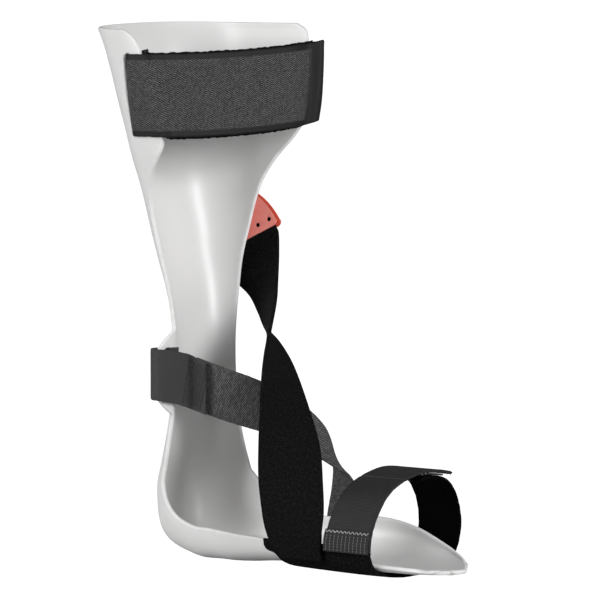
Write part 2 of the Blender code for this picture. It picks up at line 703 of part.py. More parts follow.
def make_clip(materials, collection, cutters):
    """Two plates with the band's end between them, on a stud that lets them swivel."""
    red = materials["red"]
    inner_low = CLIP_CLEAR
    inner_high = inner_low + CLIP_THICKNESS
    outer_low = inner_high + PLUSH + 2 * GAP
    outer_high = outer_low + CLIP_THICKNESS
    stud_place = (-CLIP_SHIFT, CLIP_PIVOT_RISE)
    inner = plate("clip_inner_plate", clip_outline(28), inner_low, inner_high, red, collection)
    outer = plate("clip_outer_plate", clip_outline(28), outer_low, outer_high, red, collection)
    bore = round_bar("clip_bore_cutter", stud_place, STUD_RADIUS + STUD_CLEAR, -0.01, 0.02, red, cutters)
    hide_cutter(bore)
    for obj in (inner, outer):
        boolean(obj, "DIFFERENCE", bore)
    for index in range(CLIP_HOLES):
        place = ((index - (CLIP_HOLES - 1) / 2) * CLIP_HOLE_PITCH, CLIP_HOLE_RISE)
        span = (inner_low - 0.002, inner_high + 0.001)
        hole = round_bar(f"clip_hole_cutter_{index + 1}", place, CLIP_HOLE_RADIUS, *span, red, cutters, 12)
        hide_cutter(hole)
        boolean(inner, "DIFFERENCE", hole)
    round_bar("clip_stud", stud_place, STUD_RADIUS, STUD_START, outer_high + GAP, red, collection)
    cap_low = outer_high + 2 * GAP
    round_bar("clip_stud_cap", stud_place, STUD_CAP_RADIUS, cap_low, cap_low + STUD_CAP, red, collection)


def lift_band_rails():
    """Both edges of the whole lift band, from inside the clip to the side of the sole."""
    middle, edge, rise, out, _ = clip_frame()
    centre = CLIP_CLEAR + CLIP_THICKNESS + GAP + PLUSH / 2
    rails = []
    for side, points in ((1, LIFT_RAIL_A), (-1, LIFT_RAIL_B)):
        start = middle + edge * LIFT_BAND_WIDTH / 2 * side + out * centre
        top = [start + rise * LIFT_TUCK, start, start - rise * LIFT_STRAIGHT]
        rail = np.array(top + [np.array(p) * MM for p in points])
        rails.append(hermite(np.arange(len(rail)), rail, np.linspace(0, len(rail) - 1, LIFT_POINTS)))
    return rails


def make_lift_band(materials, collection):
    """The band in two lengths, so that the upper one can turn with the clip."""
    rails = lift_band_rails()
    upper = [rail[:LIFT_SPLIT] for rail in rails]
    webbing("lift_band_upper", upper, PLUSH, materials["plush"], collection)
    lower = []
    for rail in rails:
        step = rail[LIFT_SPLIT] - rail[LIFT_SPLIT - 1]
        lower.append(np.concatenate([[rail[LIFT_SPLIT - 1] + step * 0.15], rail[LIFT_SPLIT:]]))
    webbing("lift_band_lower", lower, PLUSH, materials["plush"], collection)


def sling_rail(share):
    """One line of the sling, this share of the way from its rear edge to its front: near flap to far wall."""
    x_near = SLING_REAR + (SLING_FRONT - SLING_REAR) * share
    x_sole = x_near + SLING_REAR_SLANT * (1 - share)
    x_far = x_near + SLING_REAR_SLANT * (1 - share) * 0.6
    points = [np.array([x_near, flap_y(), z]) for z in (SLING_TOP, SLING_TOP - 0.005)]
    lift = 2 * GAP + SLING / 2
    for across in np.concatenate([np.linspace(-0.93, -0.1, 12), np.linspace(0, 0.82, 11)]):
        mix = min(abs(across), 1.0) ** 2
        x = x_sole + ((x_near if across < 0 else x_far) - x_sole) * mix
        point = off_shell(sole_knot(x), across, lift)
        if across < 0 and point[2] > SLING_TOP - 0.009:
            continue
        points.append(point)
    return smooth_path(points, 40)


def flap_y():
    widest = min(shell_point(sole_knot(x), -1)[1] for x in np.linspace(SLING_REAR, SLING_FRONT, 12))
    return widest - 3 * GAP - SLING / 2


def make_sling(materials, collection):
    rails = [sling_rail(share) for share in np.linspace(0, 1, 6)]
    return webbing("sole_sling", rails, SLING, materials["plush"], collection)


def arch_rails(points, x_rear, x_front, count):
    path = smooth_path([(0.0, y * MM, z * MM) for y, z in points], count)
    rear = path + np.array([x_rear, 0, 0])
    front = path + np.array([x_front, 0, 0])
    return rear, front


def make_forefoot_strap(materials, collection):
    front = SLING_FRONT + 0.002
    rear = front - FOREFOOT_STRAP_WIDTH
    a, b = arch_rails(FOREFOOT_NEAR, rear, front, 26)
    webbing("forefoot_near_strap", (a, b), WEBBING, materials["webbing"], collection)
    a, b = arch_rails(FOREFOOT_FLAP, rear, front, 16)
    webbing("forefoot_flap", (a, b), WEBBING, materials["webbing"], collection)
    a, b = arch_rails(FOREFOOT_HOOK, rear + 0.002, front - 0.002, 10)
    webbing("forefoot_hook_patch", (a, b), HOOK, materials["hook"], collection)
    a, b = arch_rails(FOREFOOT_FAR, rear + 0.002, front, 30)
    webbing("forefoot_far_strap", (a, b), WEBBING, materials["webbing"], collection)
    a, b = arch_rails(FOREFOOT_PATCH, rear, front, 6)
    webbing("forefoot_join_patch", (a, b), LINING, materials["webbing"], collection)


def tab_hinge():
    """Two points of the line that the calf strap's tab peels about, on the outer face of its root."""
    heights = calf_heights(0.001, CALF_FAR_RISE)
    lift = STRAP_CLEAR + TAB_LIFT + WEBBING / 2
    return [wall_rail(z, [TAB_START], 1, lift)[0] for z in (heights[0], heights[-1])]


def flap_hinge():
    """A point of the line, along x, that the forefoot strap's free flap peels about."""
    y, z = FOREFOOT_FLAP[0]
    return Vector((SLING_FRONT - FOREFOOT_STRAP_WIDTH / 2, y * MM, z * MM + WEBBING / 2))


def set_origins(objects):
    """Each moving piece has its origin on the axis of its body's joint."""
    low, high = tab_hinge()
    axes = (
        (flex_axis(), LEG_PIECES),
        (clip_frame()[4], CLIP_PIECES),
        ((low + high) / 2, ("calf_strap_tab",)),
        (flap_hinge(), ("forefoot_flap", "forefoot_hook_patch")),
    )
    for point, names in axes:
        for name in names:
            set_origin(objects[name], point)


def main():
    clear_scene()
    parts = new_collection(NAME)
    cutters = new_collection("cutters", hidden=True)
    materials = {
        "shell": plastic("white_polypropylene", (0.80, 0.80, 0.80), 0.38),
        "webbing": plastic("dark_grey_webbing", (0.045, 0.045, 0.047), 0.75),
        "plush": plastic("black_elastic_plush", (0.012, 0.012, 0.013), 0.95),
        "hook": plastic("black_hook_tape", (0.02, 0.02, 0.02), 0.6),
        "red": plastic("red_moulded_clip", (0.70, 0.16, 0.13), 0.45),
    }
    make_shells(materials["shell"], parts, cutters)
    make_calf_strap(materials, parts)
    make_clip(materials, parts, cutters)
    make_lift_band(materials, parts)
    make_ankle_strap(materials, parts)
    make_sling(materials, parts)
    make_forefoot_strap(materials, parts)
    set_origins(parts.objects)
    for obj in parts.objects:
        shade(obj)


main()
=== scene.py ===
"""Visual model of the ankle-foot orthosis: the moulded shell, its straps, the elastic lift band and its clip.

Metres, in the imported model's frame. +X points to the toes, +Y to the inner (far) side of the leg, +Z up."""

import math

import bmesh
import bpy
import numpy as np
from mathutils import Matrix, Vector


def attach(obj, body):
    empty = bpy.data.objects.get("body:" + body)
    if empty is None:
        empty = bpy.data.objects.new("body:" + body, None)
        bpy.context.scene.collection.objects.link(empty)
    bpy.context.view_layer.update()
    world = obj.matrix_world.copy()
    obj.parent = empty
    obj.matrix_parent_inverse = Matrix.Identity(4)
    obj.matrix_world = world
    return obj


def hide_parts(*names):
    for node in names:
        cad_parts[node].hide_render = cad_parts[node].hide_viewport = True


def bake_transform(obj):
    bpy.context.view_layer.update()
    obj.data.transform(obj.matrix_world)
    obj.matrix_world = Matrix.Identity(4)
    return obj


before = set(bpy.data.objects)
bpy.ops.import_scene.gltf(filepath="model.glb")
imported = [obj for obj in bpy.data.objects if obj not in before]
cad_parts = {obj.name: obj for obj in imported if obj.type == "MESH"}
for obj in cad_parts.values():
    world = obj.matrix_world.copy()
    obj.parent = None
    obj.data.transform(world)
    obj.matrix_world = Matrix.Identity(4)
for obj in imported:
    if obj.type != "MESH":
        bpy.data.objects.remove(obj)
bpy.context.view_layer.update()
MM = 0.001

# Sizes of the part, as its source has them
SHELL_HEIGHT = 0.370
TOE_X = 0.1885
WALL = 0.003
GAP = 0.0003
CALF_STRAP_WIDTH = 0.057
CALF_STRAP_DROP = 0.048
CALF_STRAP_Z = SHELL_HEIGHT - CALF_STRAP_DROP
ANKLE_STRAP_WIDTH = 0.036
ANKLE_STRAP_Z = 0.1285
LIFT_BAND_WIDTH = 0.050
FOREFOOT_STRAP_WIDTH = 0.038
WEBBING = 0.0022
LINING = 0.0014
PLUSH = 0.0026
HOOK = 0.0012
LOOP_WEBBING = 0.0015
CLIP_THICKNESS = 0.0016
CLIP_TILT = math.radians(28)
CLIP_HOLES = 6
CLIP_HOLE_PITCH = 0.0093
CLIP_HOLE_RADIUS = 0.0016
CLIP_BORE_RADIUS = 0.0044
CLIP_GROW = 0.0006  # the outer plate stands out of the outline by this, and the inner one stays inside it
SLING_LIFT = (PLUSH + 2 * GAP) / MM
STRAP_CLEAR = 0.0005
STRAP_SIDE_GAP = 0.0012
CALF_SLOT_INSET = 0.021
CALF_SLOT_WIDTH = 0.0075
CALF_POINTS = 60
CALF_RUN = (25, 48)
CALF_BULGE = 0.006
CALF_FAR_RISE = 0.008
FOLD_REACH = 0.0100
TAB_LIFT = 0.0026
TAB_START = 0.019
TAB_LENGTH = 0.056
EAR_REACH = 0.017
EAR_SLOT_OUT = 0.007
EAR_SLOT_WIDTH = 0.0065
CLIP_Z = 0.233
CLIP_INSET = 0.014
CLIP_SHIFT = -0.0024
CLIP_PIVOT_RISE = 0.018
CLIP_MARGIN = 0.0035
CLIP_HEIGHT = 0.042
CLIP_CLEAR = 0.0022
CLIP_HOLE_RISE = 0.0062
STUD_RADIUS = 0.004
STUD_CAP_RADIUS = 0.0065
STUD_CAP = 0.0018
LIFT_TUCK = 0.009
LIFT_STRAIGHT = 0.005
LIFT_POINTS = 73
LIFT_SPLIT = 17
SLING_REAR = 0.061
SLING_FRONT = 0.152
SLING_TOP = 0.022
SLING_REAR_SLANT = 0.020

# Edges of the straps in mm
LIFT_RAIL_A = (
    (2.5, 47.0, 210), (10, 36, 193), (21, 20, 178), (33, -2, 158), (38, -13, 145), (42.5, -22, 130),
    (46, -29, 108), (50, -36, 84), (54, -41, 62), (59.5, -44.5, 43), (64.5, -46.6, 29), (71, -47.2, 18),
    (80, -47.2, 10),
)
LIFT_RAIL_B = (
    (-35, 43.5, 189), (-20, 42.5, 179), (-10, 40, 168), (-1.8, 38, 157), (12, 36, 147), (31.5, 27, 132),
    (57, 11.6, 106), (78, -3, 82), (98, -25.5, 60), (109, -39, 43.6), (112.2, -45.5, 30), (113.2, -47.2, 18),
    (113.2, -47.2, 10),
)
ANKLE_BAND_LOW = (
    (-23, -13, 101.5), (-10, -11.5, 98), (10, -8, 93), (27, -2, 88.5), (45, 8.5, 80), (59.5, 17.5, 72),
    (69, 26, 64.5), (72.5, 38, 57), (74, 45, 46), (74, 48.2, 35), (74, 48.6, 22),
)
ANKLE_BAND_HIGH = (
    (-23, -13, 139), (-12, -12, 136), (6, -9, 131), (25, -2.2, 124.5), (38.5, 11, 114.5), (48.5, 22.5, 104),
    (54.5, 30, 94), (54, 40, 80), (52.5, 45.5, 62), (49, 47.8, 46), (45.5, 48.2, 31), (44, 48.2, 20),
)
ANKLE_TAIL_LOW = ((-20, -18, 102), (-12, -16.5, 99.5))
ANKLE_TAIL_HIGH = ((-20, -18, 139.5), (-12, -16.5, 136.5))
FOREFOOT_NEAR = ((-46.6, 9), (-46.6, 20), (-44.5, 31), (-36, 46), (-25, 57), (-15, 62), (-8, 64.3))
FOREFOOT_FLAP = ((-7, 64.6), (2, 66.6), (17, 68.5), (34, 67.2), (47, 64.9))
FOREFOOT_HOOK = ((14, 66.1), (20, 66.3), (29, 65.6), (39, 64.1))
FOREFOOT_FAR = (
    (10, 63.4), (20, 64.2), (32, 63.2), (43, 59.0), (51.5, 49.5), (56, 38), (57, 29), (55, 19), (51, 11),
    (46.8, 7.6),
)
FOREFOOT_PATCH = ((-48.9, 18), (-48.7, 24), (-46.8, 31))

# Sections of the shell in mm, from the rim down the leg, round the heel, and forward along the sole
TURN_Z = 0.060
LEG = (
    (1.000, -104.0, 62, 62, 57.0, 64.0, -55.0, 5.0),
    (0.985, -101.5, 62, 62, 57.0, 64.0, -46.0, 14.0),
    (0.962, -98.0, 61, 61, 57.0, 63.0, -39.5, 17.5),
    (0.915, -92.5, 60, 60, 57.0, 62.0, -35.0, 18.5),
    (0.830, -84.5, 57, 57, 55.5, 59.0, -27.0, 19.0),
    (0.774, -79.5, 54, 54, 53.0, 57.0, -22.0, 17.5),
    (0.742, -77.0, 52, 52, 51.5, 55.5, -21.5, 11.0),
    (0.712, -74.5, 50, 50, 50.0, 54.0, -27.0, 2.0),
    (0.686, -72.5, 49, 49, 48.0, 52.0, -33.5, -4.5),
    (0.651, -69.0, 47, 47, 46.0, 50.0, -39.5, -11.5),
    (0.615, -66.0, 45, 45, 44.0, 48.0, -42.5, -15.5),
    (0.537, -59.5, 40, 40, 41.0, 45.5, -41.5, -21.5),
    (0.476, -54.3, 36, 36, 38.0, 41.5, -38.5, -24.0),
    (0.406, -48.0, 30, 30, 34.0, 38.0, -36.5, -24.5),
    (0.316, -43.8, 26, 27, 31.0, 35.0, -34.0, -25.0),
    (0.216, -44.0, 26, 27, 30.5, 34.5, -33.7, -24.8),
    (0.138, -45.7, 26, 27, 31.0, 34.5, -34.3, -23.0),
    (0.087, -48.5, 27, 29, 31.5, 34.0, -36.0, -20.0),
    (0.043, -51.6, 28, 30, 32.0, 33.5, -37.5, -16.0),
    (0.000, -55.2, 29, 32, 32.0, 33.5, -39.7, -11.5),
)
HEEL = (
    (22.5, 61.0, 29, 34, 32.0, 33.5, 41.0, 9.7),
    (45.0, 68.0, 28, 34, 32.0, 33.5, 40.5, 9.0),
    (67.5, 64.0, 25, 32, 32.0, 34.0, 38.5, 10.0),
)
SOLE = (
    (0.000, -1.0, 22, 30, 32.0, 34.5, 23.0, 46.5, 0.0),
    (0.079, -0.9, 20, 28, 32.5, 36.0, 22.0, 38.0, 0.0),
    (0.157, 0.0, 19, 26, 33.0, 37.5, 21.0, 32.0, 0.0),
    (0.251, 1.8, 18, 25, 34.5, 39.5, 20.5, 28.5, 0.0),
    (0.366, SLING_LIFT, 17, 25, 37.5, 41.5, 19.5, 29.0, 0.0),
    (0.508, SLING_LIFT, 15, 26, 40.5, 43.0, 16.5, 31.0, 0.0),
    (0.597, SLING_LIFT, 13, 25, 41.5, 43.5, 14.5, 29.5, 0.0),
    (0.681, SLING_LIFT, 11, 22, 41.5, 43.5, 12.5, 26.0, 0.0),
    (0.775, SLING_LIFT, 8.5, 16, 39.0, 42.5, 11.0, 19.5, 0.0),
    (0.859, 3.0, 6.5, 10, 33.5, 39.5, 9.5, 13.3, 0.5),
    (0.921, 2.4, 5.0, 6.5, 27.0, 31.5, 8.0, 9.2, 3.5),
    (0.969, 1.8, 4.0, 4.5, 18.5, 20.5, 6.4, 6.8, 8.5),
    (1.000, 1.6, 3.0, 3.0, 7.5, 7.5, 5.0, 5.0, 12.5),
)
LEG_ROUND = 0.86
SOLE_ROUND = 0.64
RIM_RISE = 0.035

# ---------------------------------------------------------------- curves


def unit(vectors):
    vectors = np.asarray(vectors, float)
    return vectors / np.maximum(np.linalg.norm(vectors, axis=-1, keepdims=True), 1e-12)


def hermite(knots, rows, at):
    """Rows of values on a smooth curve over the knots, with slopes from the neighbours on both sides."""
    knots = np.asarray(knots, float)
    rows = np.asarray(rows, float)
    slopes = np.gradient(rows, knots, axis=0)
    at = np.clip(np.asarray(at, float), knots[0], knots[-1])
    i = np.clip(np.searchsorted(knots, at, side="right") - 1, 0, len(knots) - 2)
    span = (knots[i + 1] - knots[i])[:, None]
    u = (at[:, None] - knots[i][:, None]) / span
    start = rows[i] * (2 * u**3 - 3 * u**2 + 1) + slopes[i] * span * (u**3 - 2 * u**2 + u)
    end = rows[i + 1] * (3 * u**2 - 2 * u**3) + slopes[i + 1] * span * (u**3 - u**2)
    return start + end


def run_of(points):
    """Distance along a line of points."""
    return np.concatenate([[0.0], np.cumsum(np.linalg.norm(np.diff(points, axis=0), axis=1))])


def along_line(points, at):
    """Points at these distances along a line of points."""
    run = run_of(points)
    return np.stack([np.interp(at, run, points[:, k]) for k in range(3)], axis=1)


def smooth_path(points, count):
    """Evenly spaced points on a smooth curve through the given ones."""
    points = np.asarray(points, float)
    knots = run_of(points)
    fine = hermite(knots, points, np.linspace(0, knots[-1], 20 * len(points)))
    return along_line(fine, np.linspace(0, run_of(fine)[-1], count))


def ease(value):
    value = np.clip(value, 0, 1)
    return value * value * (3 - 2 * value)


# ---------------------------------------------------------------- the shell's surface


def stations():
    """Every section in one form, and how far along the shell it stands."""
    rows = []
    for share, back, round_n, round_f, half_n, half_f, edge_n, edge_f in LEG:
        z = TURN_Z + share * (SHELL_HEIGHT - TURN_Z)
        rows.append((0.0, z, 0.0, -back, round_n, round_f, half_n, half_f, -edge_n, -edge_f, 0))
    for turn, distance, round_n, round_f, half_n, half_f, edge_n, edge_f in HEEL:
        rows.append((0.0, TURN_Z, turn, distance, round_n, round_f, half_n, half_f, edge_n, edge_f, 0))
    for share, bottom, round_n, round_f, half_n, half_f, top_n, top_f, middle in SOLE:
        base = TURN_Z / MM
        sides = (round_n, round_f, half_n, half_f, base - top_n, base - top_f)
        rows.append((share * TOE_X, TURN_Z, 90.0, base - bottom, *sides, middle))
    table = np.array(rows, float)
    table[:, 2] = np.radians(table[:, 2])
    table[:, 3:] *= MM
    step = np.hypot(np.diff(table[:, 0]), np.diff(table[:, 1])) + np.diff(table[:, 2]) * 0.055
    return np.concatenate([[0.0], np.cumsum(step)]), table


KNOTS, TABLE = stations()


def side_profile(distance, round_depth, half, edge, power, share):
    """(distance, sideways) at a share of the way from the middle of the shell to one trim edge."""
    angle = np.linspace(0, math.pi / 2, 40)
    out = distance - round_depth * (1 - np.cos(angle) ** power)
    across = half * np.sin(angle) ** power
    out = np.append(out, min(edge, distance - round_depth) - 1e-6)
    across = np.append(across, half)
    last = int((out > edge).sum())
    after = min(last, len(out) - 1)
    mix = (out[last - 1] - edge) / max(out[last - 1] - out[after], 1e-9)
    end_across = across[last - 1] + (across[after] - across[last - 1]) * min(mix, 1.0)
    out = np.append(out[:last], edge)
    across = np.append(across[:last], end_across)
    run = np.concatenate([[0.0], np.cumsum(np.hypot(np.diff(out), np.diff(across)))])
    return np.interp(share * run[-1], run, out), np.interp(share * run[-1], run, across)


def shell_row(knot, across):
    """Points of the outer surface on one section.

    across runs from -1, the near trim edge, to 1, the far one."""
    across = np.asarray(across, float)
    x, z, turn, distance, *sides, middle = hermite(KNOTS, TABLE, [knot])[0]
    round_n, round_f, half_n, half_f, edge_n, edge_f = sides
    power = LEG_ROUND + (SOLE_ROUND - LEG_ROUND) * turn / (math.pi / 2)
    near_out, near_side = side_profile(distance, round_n, half_n, edge_n, power, np.abs(across))
    far_out, far_side = side_profile(distance, round_f, half_f, edge_f, power, np.abs(across))
    out = np.where(across < 0, near_out, far_out)
    y = middle + np.where(across < 0, -near_side, far_side)
    rise = RIM_RISE * y * max(0.0, (z - TURN_Z) / (SHELL_HEIGHT - TURN_Z))
    heights = np.maximum(0.0, z + rise - out * math.sin(turn))
    return np.stack([x - out * math.cos(turn), y, heights], axis=-1)


def shell_normal(knot, across):
    """Outward unit normal of the shell."""
    step = 1e-3
    knot = min(max(knot, step), KNOTS[-1] - step)
    across = min(max(across, -1 + step), 1 - step)
    along = shell_row(knot + step, across) - shell_row(knot - step, across)
    sides = shell_row(knot, [across - step, across + step])
    return unit(np.cross(sides[1] - sides[0], along))


def off_shell(knot, across, lift):
    """A point this far outside the shell, or inside it where lift is negative."""
    return shell_row(knot, across) + shell_normal(knot, across) * lift


def leg_knot(z):
    """The knot of the leg section at this height."""
    return float(np.interp(z, TABLE[: len(LEG), 1][::-1], KNOTS[: len(LEG)][::-1]))


def sole_knot(x):
    """The knot of the sole section at this x."""
    start = len(LEG) + len(HEEL)
    return float(np.interp(x, TABLE[start:, 0], KNOTS[start:]))


def level_point(z, across, lift):
    """A point off the leg's shell, at the height z itself."""
    knot = leg_knot(z)
    for _ in range(3):
        knot += off_shell(knot, across, lift)[2] - z
    return off_shell(knot, across, lift)


def across_at(knot, inset, side):
    """The across value this far in from a trim edge, measured along the shell."""
    samples = np.linspace(1.0, 0.2, 60) * side
    return float(np.interp(inset, run_of(shell_row(knot, samples)), samples))


# ---------------------------------------------------------------- meshes


def new_piece(name, points, faces, marks=None):
    """A mesh object in the row frame. marks gives point attributes by name, one value or vector a point."""
    mesh = bpy.data.meshes.new(name)
    mesh.from_pydata(np.asarray(points, float).tolist(), [], faces)
    for label, values in (marks or {}).items():
        values = np.asarray(values, np.float32)
        kind, key = ("FLOAT_VECTOR", "vector") if values.ndim == 2 else ("FLOAT", "value")
        mesh.attributes.new(label, kind, "POINT").data.foreach_set(key, values.ravel())
    edit = bmesh.new()
    edit.from_mesh(mesh)
    bmesh.ops.remove_doubles(edit, verts=edit.verts, dist=2e-6)
    bmesh.ops.recalc_face_normals(edit, faces=edit.faces)
    edit.to_mesh(mesh)
    edit.free()
    mesh.shade_smooth()
    piece = bpy.data.objects.new(name, mesh)
    bpy.context.scene.collection.objects.link(piece)
    return piece


def settle(piece):
    """Makes the piece's modifiers part of its mesh."""
    graph = bpy.context.evaluated_depsgraph_get()
    made = bpy.data.meshes.new_from_object(piece.evaluated_get(graph), depsgraph=graph)
    piece.modifiers.clear()
    old = piece.data
    piece.data = made
    bpy.data.meshes.remove(old)
    return piece


def cut(piece, *cutters):
    """Takes each cutter's shape out of the piece."""
    for cutter in cutters:
        modifier = piece.modifiers.new("cut", "BOOLEAN")
        modifier.operation = "DIFFERENCE"
        modifier.solver = "EXACT"
        modifier.object = cutter
    settle(piece)
    for cutter in cutters:
        bpy.data.objects.remove(cutter, do_unlink=True)
    return piece


def ring_faces(rows, ring):
    """Quads between rows that each close into a ring."""
    faces = []
    for i in range(rows - 1):
        for j in range(ring):
            k = (j + 1) % ring
            faces.append((i * ring + j, i * ring + k, (i + 1) * ring + k, (i + 1) * ring + j))
    return faces


def prism(name, low, high):
    """A closed prism between two equal outlines."""
    count = len(low)
    faces = [tuple(range(count)), tuple(range(2 * count - 1, count - 1, -1))]
    faces += [(i, (i + 1) % count, count + (i + 1) % count, count + i) for i in range(count)]
    return new_piece(name, np.concatenate([low, high]), faces)


# ---------------------------------------------------------------- the moulded shell

SHELL_ROWS = 220
RIM_RUN = 0.022  # the rim and the toe have rows of their own, closer together
RIM_ROWS = 28
TOE_RUN = 0.026
TOE_ROWS = 11
ROW_POINTS = 161
TIP_RUN = 0.015  # the corners of the toe are set back, over this last stretch
TIP_SET_BACK = 0.0042
TIP_POWER = 2.2
SHELL_COLUMNS = 56
EDGE_COLUMNS = 16
FILLET = 0.006
ROUND_STEPS = 6

EAR_OUT = unit([-0.30, -0.95, 0.0])
EAR_FRONT = unit([0.95, -0.30, 0.0])


def ear_root(z):
    """Mid-wall point at the strut's near trim edge."""
    return level_point(z, -1, -WALL / 2)


def ear_place(out, front, z):
    """A point beside the ear: this far outwards from the strut's edge and in front of the ear's middle."""
    root = ear_root(ANKLE_STRAP_Z)
    return np.array([*(root + EAR_OUT * out + EAR_FRONT * front)[:2], z])


def ear_reach(z):
    """How far the ear stands out of the strut's near edge at this height."""
    flank = np.clip((0.0305 - np.abs(z - ANKLE_STRAP_Z)) / 0.019, 0, 1)
    return EAR_REACH * np.where(flank < 1, 1 - (1 - flank) ** 1.7, 1.0) * ease(flank * 4)


def wall_middle():
    """The middle of the wall as rows of fine points from the near trim edge to the far one."""
    end = KNOTS[-1]
    rim = np.linspace(WALL / 2, RIM_RUN, RIM_ROWS)
    toe = np.linspace(end - TOE_RUN, end - WALL / 2, TOE_ROWS)
    knots = np.concatenate([rim, np.linspace(RIM_RUN, end - TOE_RUN, SHELL_ROWS)[1:-1], toe])
    across = np.linspace(-1, 1, ROW_POINTS)
    outer = np.array([shell_row(k, across) for k in knots])
    tip = ease(1 - (end - knots) / TIP_RUN)
    outer[:, :, 0] -= TIP_SET_BACK * tip[:, None] * np.abs(across)[None, :] ** TIP_POWER
    normal = unit(np.cross(np.gradient(outer, axis=1), np.gradient(outer, axis=0)))
    return outer - normal * WALL / 2, knots


def wall_lines():
    """The middle of the wall with the ear drawn out of its near edge, and how far in each point is."""
    middle, knots = wall_middle()
    rows, depths = [], []
    for line, knot in zip(middle, knots):
        run = run_of(line)
        z = line[0, 2]
        reach = float(ear_reach(z)) if knot < KNOTS[len(LEG)] else 0.0
        inset = min(WALL / 2 * (1 - min(reach / 0.003, 1.0)), run[-1] * 0.1)
        fillet = min(FILLET, run[-1] * 0.2)
        start = along_line(line, [fillet])[0]
        corner = along_line(line, [inset])[0]
        turn = corner + EAR_OUT * min(reach, 0.005)
        t = np.linspace(0, 1, 24)[:, None]
        bend = (1 - t) ** 2 * start + 2 * t * (1 - t) * corner + t * t * turn
        if reach > 0.0051:
            bend = np.concatenate([bend, [corner + EAR_OUT * (reach - WALL / 2)]])
        bend = bend[::-1]
        edge = along_line(bend, np.linspace(0, run_of(bend)[-1], EDGE_COLUMNS))
        main = along_line(line, np.linspace(fillet, run[-1] - WALL / 2, SHELL_COLUMNS))
        whole = np.concatenate([edge[:-1], main])
        rows.append(whole)
        run = run_of(whole)
        depths.append(np.minimum(run, run[-1] - run))
    return np.array(rows), np.array(depths), knots


def make_shell():
    """The wall between its two faces, with every edge rounded over."""
    middle, depth, knots = wall_lines()
    along = unit(np.gradient(middle, axis=0))
    sideways = unit(np.gradient(middle, axis=1))
    normal = unit(np.cross(sideways, along))
    turns = np.linspace(0, math.pi / 2, ROUND_STEPS)
    caps = [(0, -math.sin(a), math.cos(a)) for a in turns[::-1]]
    body = [(i, 0.0, 1.0) for i in range(1, len(middle) - 1)]
    caps_end = [(len(middle) - 1, math.sin(a), math.cos(a)) for a in turns]
    around = np.linspace(0, math.pi, 2 * ROUND_STEPS + 1)[1:-1]
    points, edge_marks = [], []
    for i, shift, swell in caps + body + caps_end:
        half = WALL / 2 * swell
        line = middle[i] + along[i] * WALL / 2 * shift
        off, aside = normal[i, -1], sideways[i, -1]
        far = [line[-1] + half * (off * math.cos(a) + aside * math.sin(a)) for a in around]
        near = [line[0] - half * (normal[i, 0] * math.cos(a) + sideways[i, 0] * math.sin(a)) for a in around]
        points += [line + normal[i] * half, np.array(far), (line - normal[i] * half)[::-1], np.array(near)]
        ends = min(knots[i], KNOTS[-1] - knots[i])
        flat = np.exp(-np.minimum(depth[i], ends) / 0.0011) if shift == 0 else np.ones(len(line))
        rim = np.ones(len(around))
        edge_marks += [flat, rim, flat[::-1], rim]
    ring = 2 * middle.shape[1] + 2 * len(around)
    points = np.concatenate(points)
    faces = ring_faces(len(points) // ring, ring)
    shell = new_piece("moulded_shell", points, faces, {"edge": np.concatenate(edge_marks)})
    return cut(shell, calf_slot_cutter(), ear_slot_cutter())


def calf_slot_x():
    """The calf strap's slot stands upright in the near wall, at this x."""
    return shell_row(leg_knot(CALF_STRAP_Z), -1)[0] - CALF_SLOT_INSET


def across_at_x(z, x):
    """The across value on the near wall where the shell reaches this x, at the height z."""
    samples = np.linspace(-1.0, -0.3, 24)
    found = np.array([level_point(z, a, 0)[0] for a in samples])
    return float(np.interp(-x, -found, samples))


def slot_outline(width, height, count=10):
    """A slot with round ends, as (sideways, up) places round its middle."""
    radius = width / 2
    turns = np.linspace(0, math.pi, count)
    top = [(radius * math.cos(a), height / 2 - radius + radius * math.sin(a)) for a in turns]
    return top + [(-a, -b) for a, b in top]


def calf_slot_cutter():
    middle = across_at_x(CALF_STRAP_Z, calf_slot_x())
    centre = level_point(CALF_STRAP_Z, middle, -WALL / 2)
    out = unit(level_point(CALF_STRAP_Z, middle, WALL) - centre)
    low, high = (level_point(CALF_STRAP_Z + rise, middle, -WALL / 2) for rise in (-0.02, 0.02))
    side = unit(np.cross(out, unit(high - low)))
    up = np.array([0.0, 0.0, 1.0])
    outline = slot_outline(CALF_SLOT_WIDTH, CALF_STRAP_WIDTH + STRAP_SIDE_GAP)
    ring = np.array([centre + side * a + up * b for a, b in outline])
    return prism("calf_slot", ring - out * 0.008, ring + out * 0.008)


def ear_slot_cutter():
    outline = slot_outline(EAR_SLOT_WIDTH, ANKLE_STRAP_WIDTH)
    low = np.array([ear_place(EAR_SLOT_OUT + a, -0.006, ANKLE_STRAP_Z + b) for a, b in outline])
    high = np.array([ear_place(EAR_SLOT_OUT + a, 0.006, ANKLE_STRAP_Z + b) for a, b in outline])
    return prism("ear_slot", low, high)


# ---------------------------------------------------------------- woven and knitted bands


def wander(length, at, step, seed):
    """A smooth random line between -1 and 1, with a new value each step."""
    picks = np.random.default_rng(seed).uniform(-1, 1, int(length / step) + 4)
    return np.interp(at / step, np.arange(len(picks)), picks)


def spaced(length, step, edge):
    """Distances from 0 to length, closer together beside both ends."""
    close = edge * np.array([0.0, 0.05, 0.2, 0.45, 0.75, 1.0])
    count = max(2, round((length - 2 * edge) / step))
    middle = np.linspace(edge, length - edge, count + 1)[1:-1]
    return np.concatenate([close, middle, length - close[::-1]])


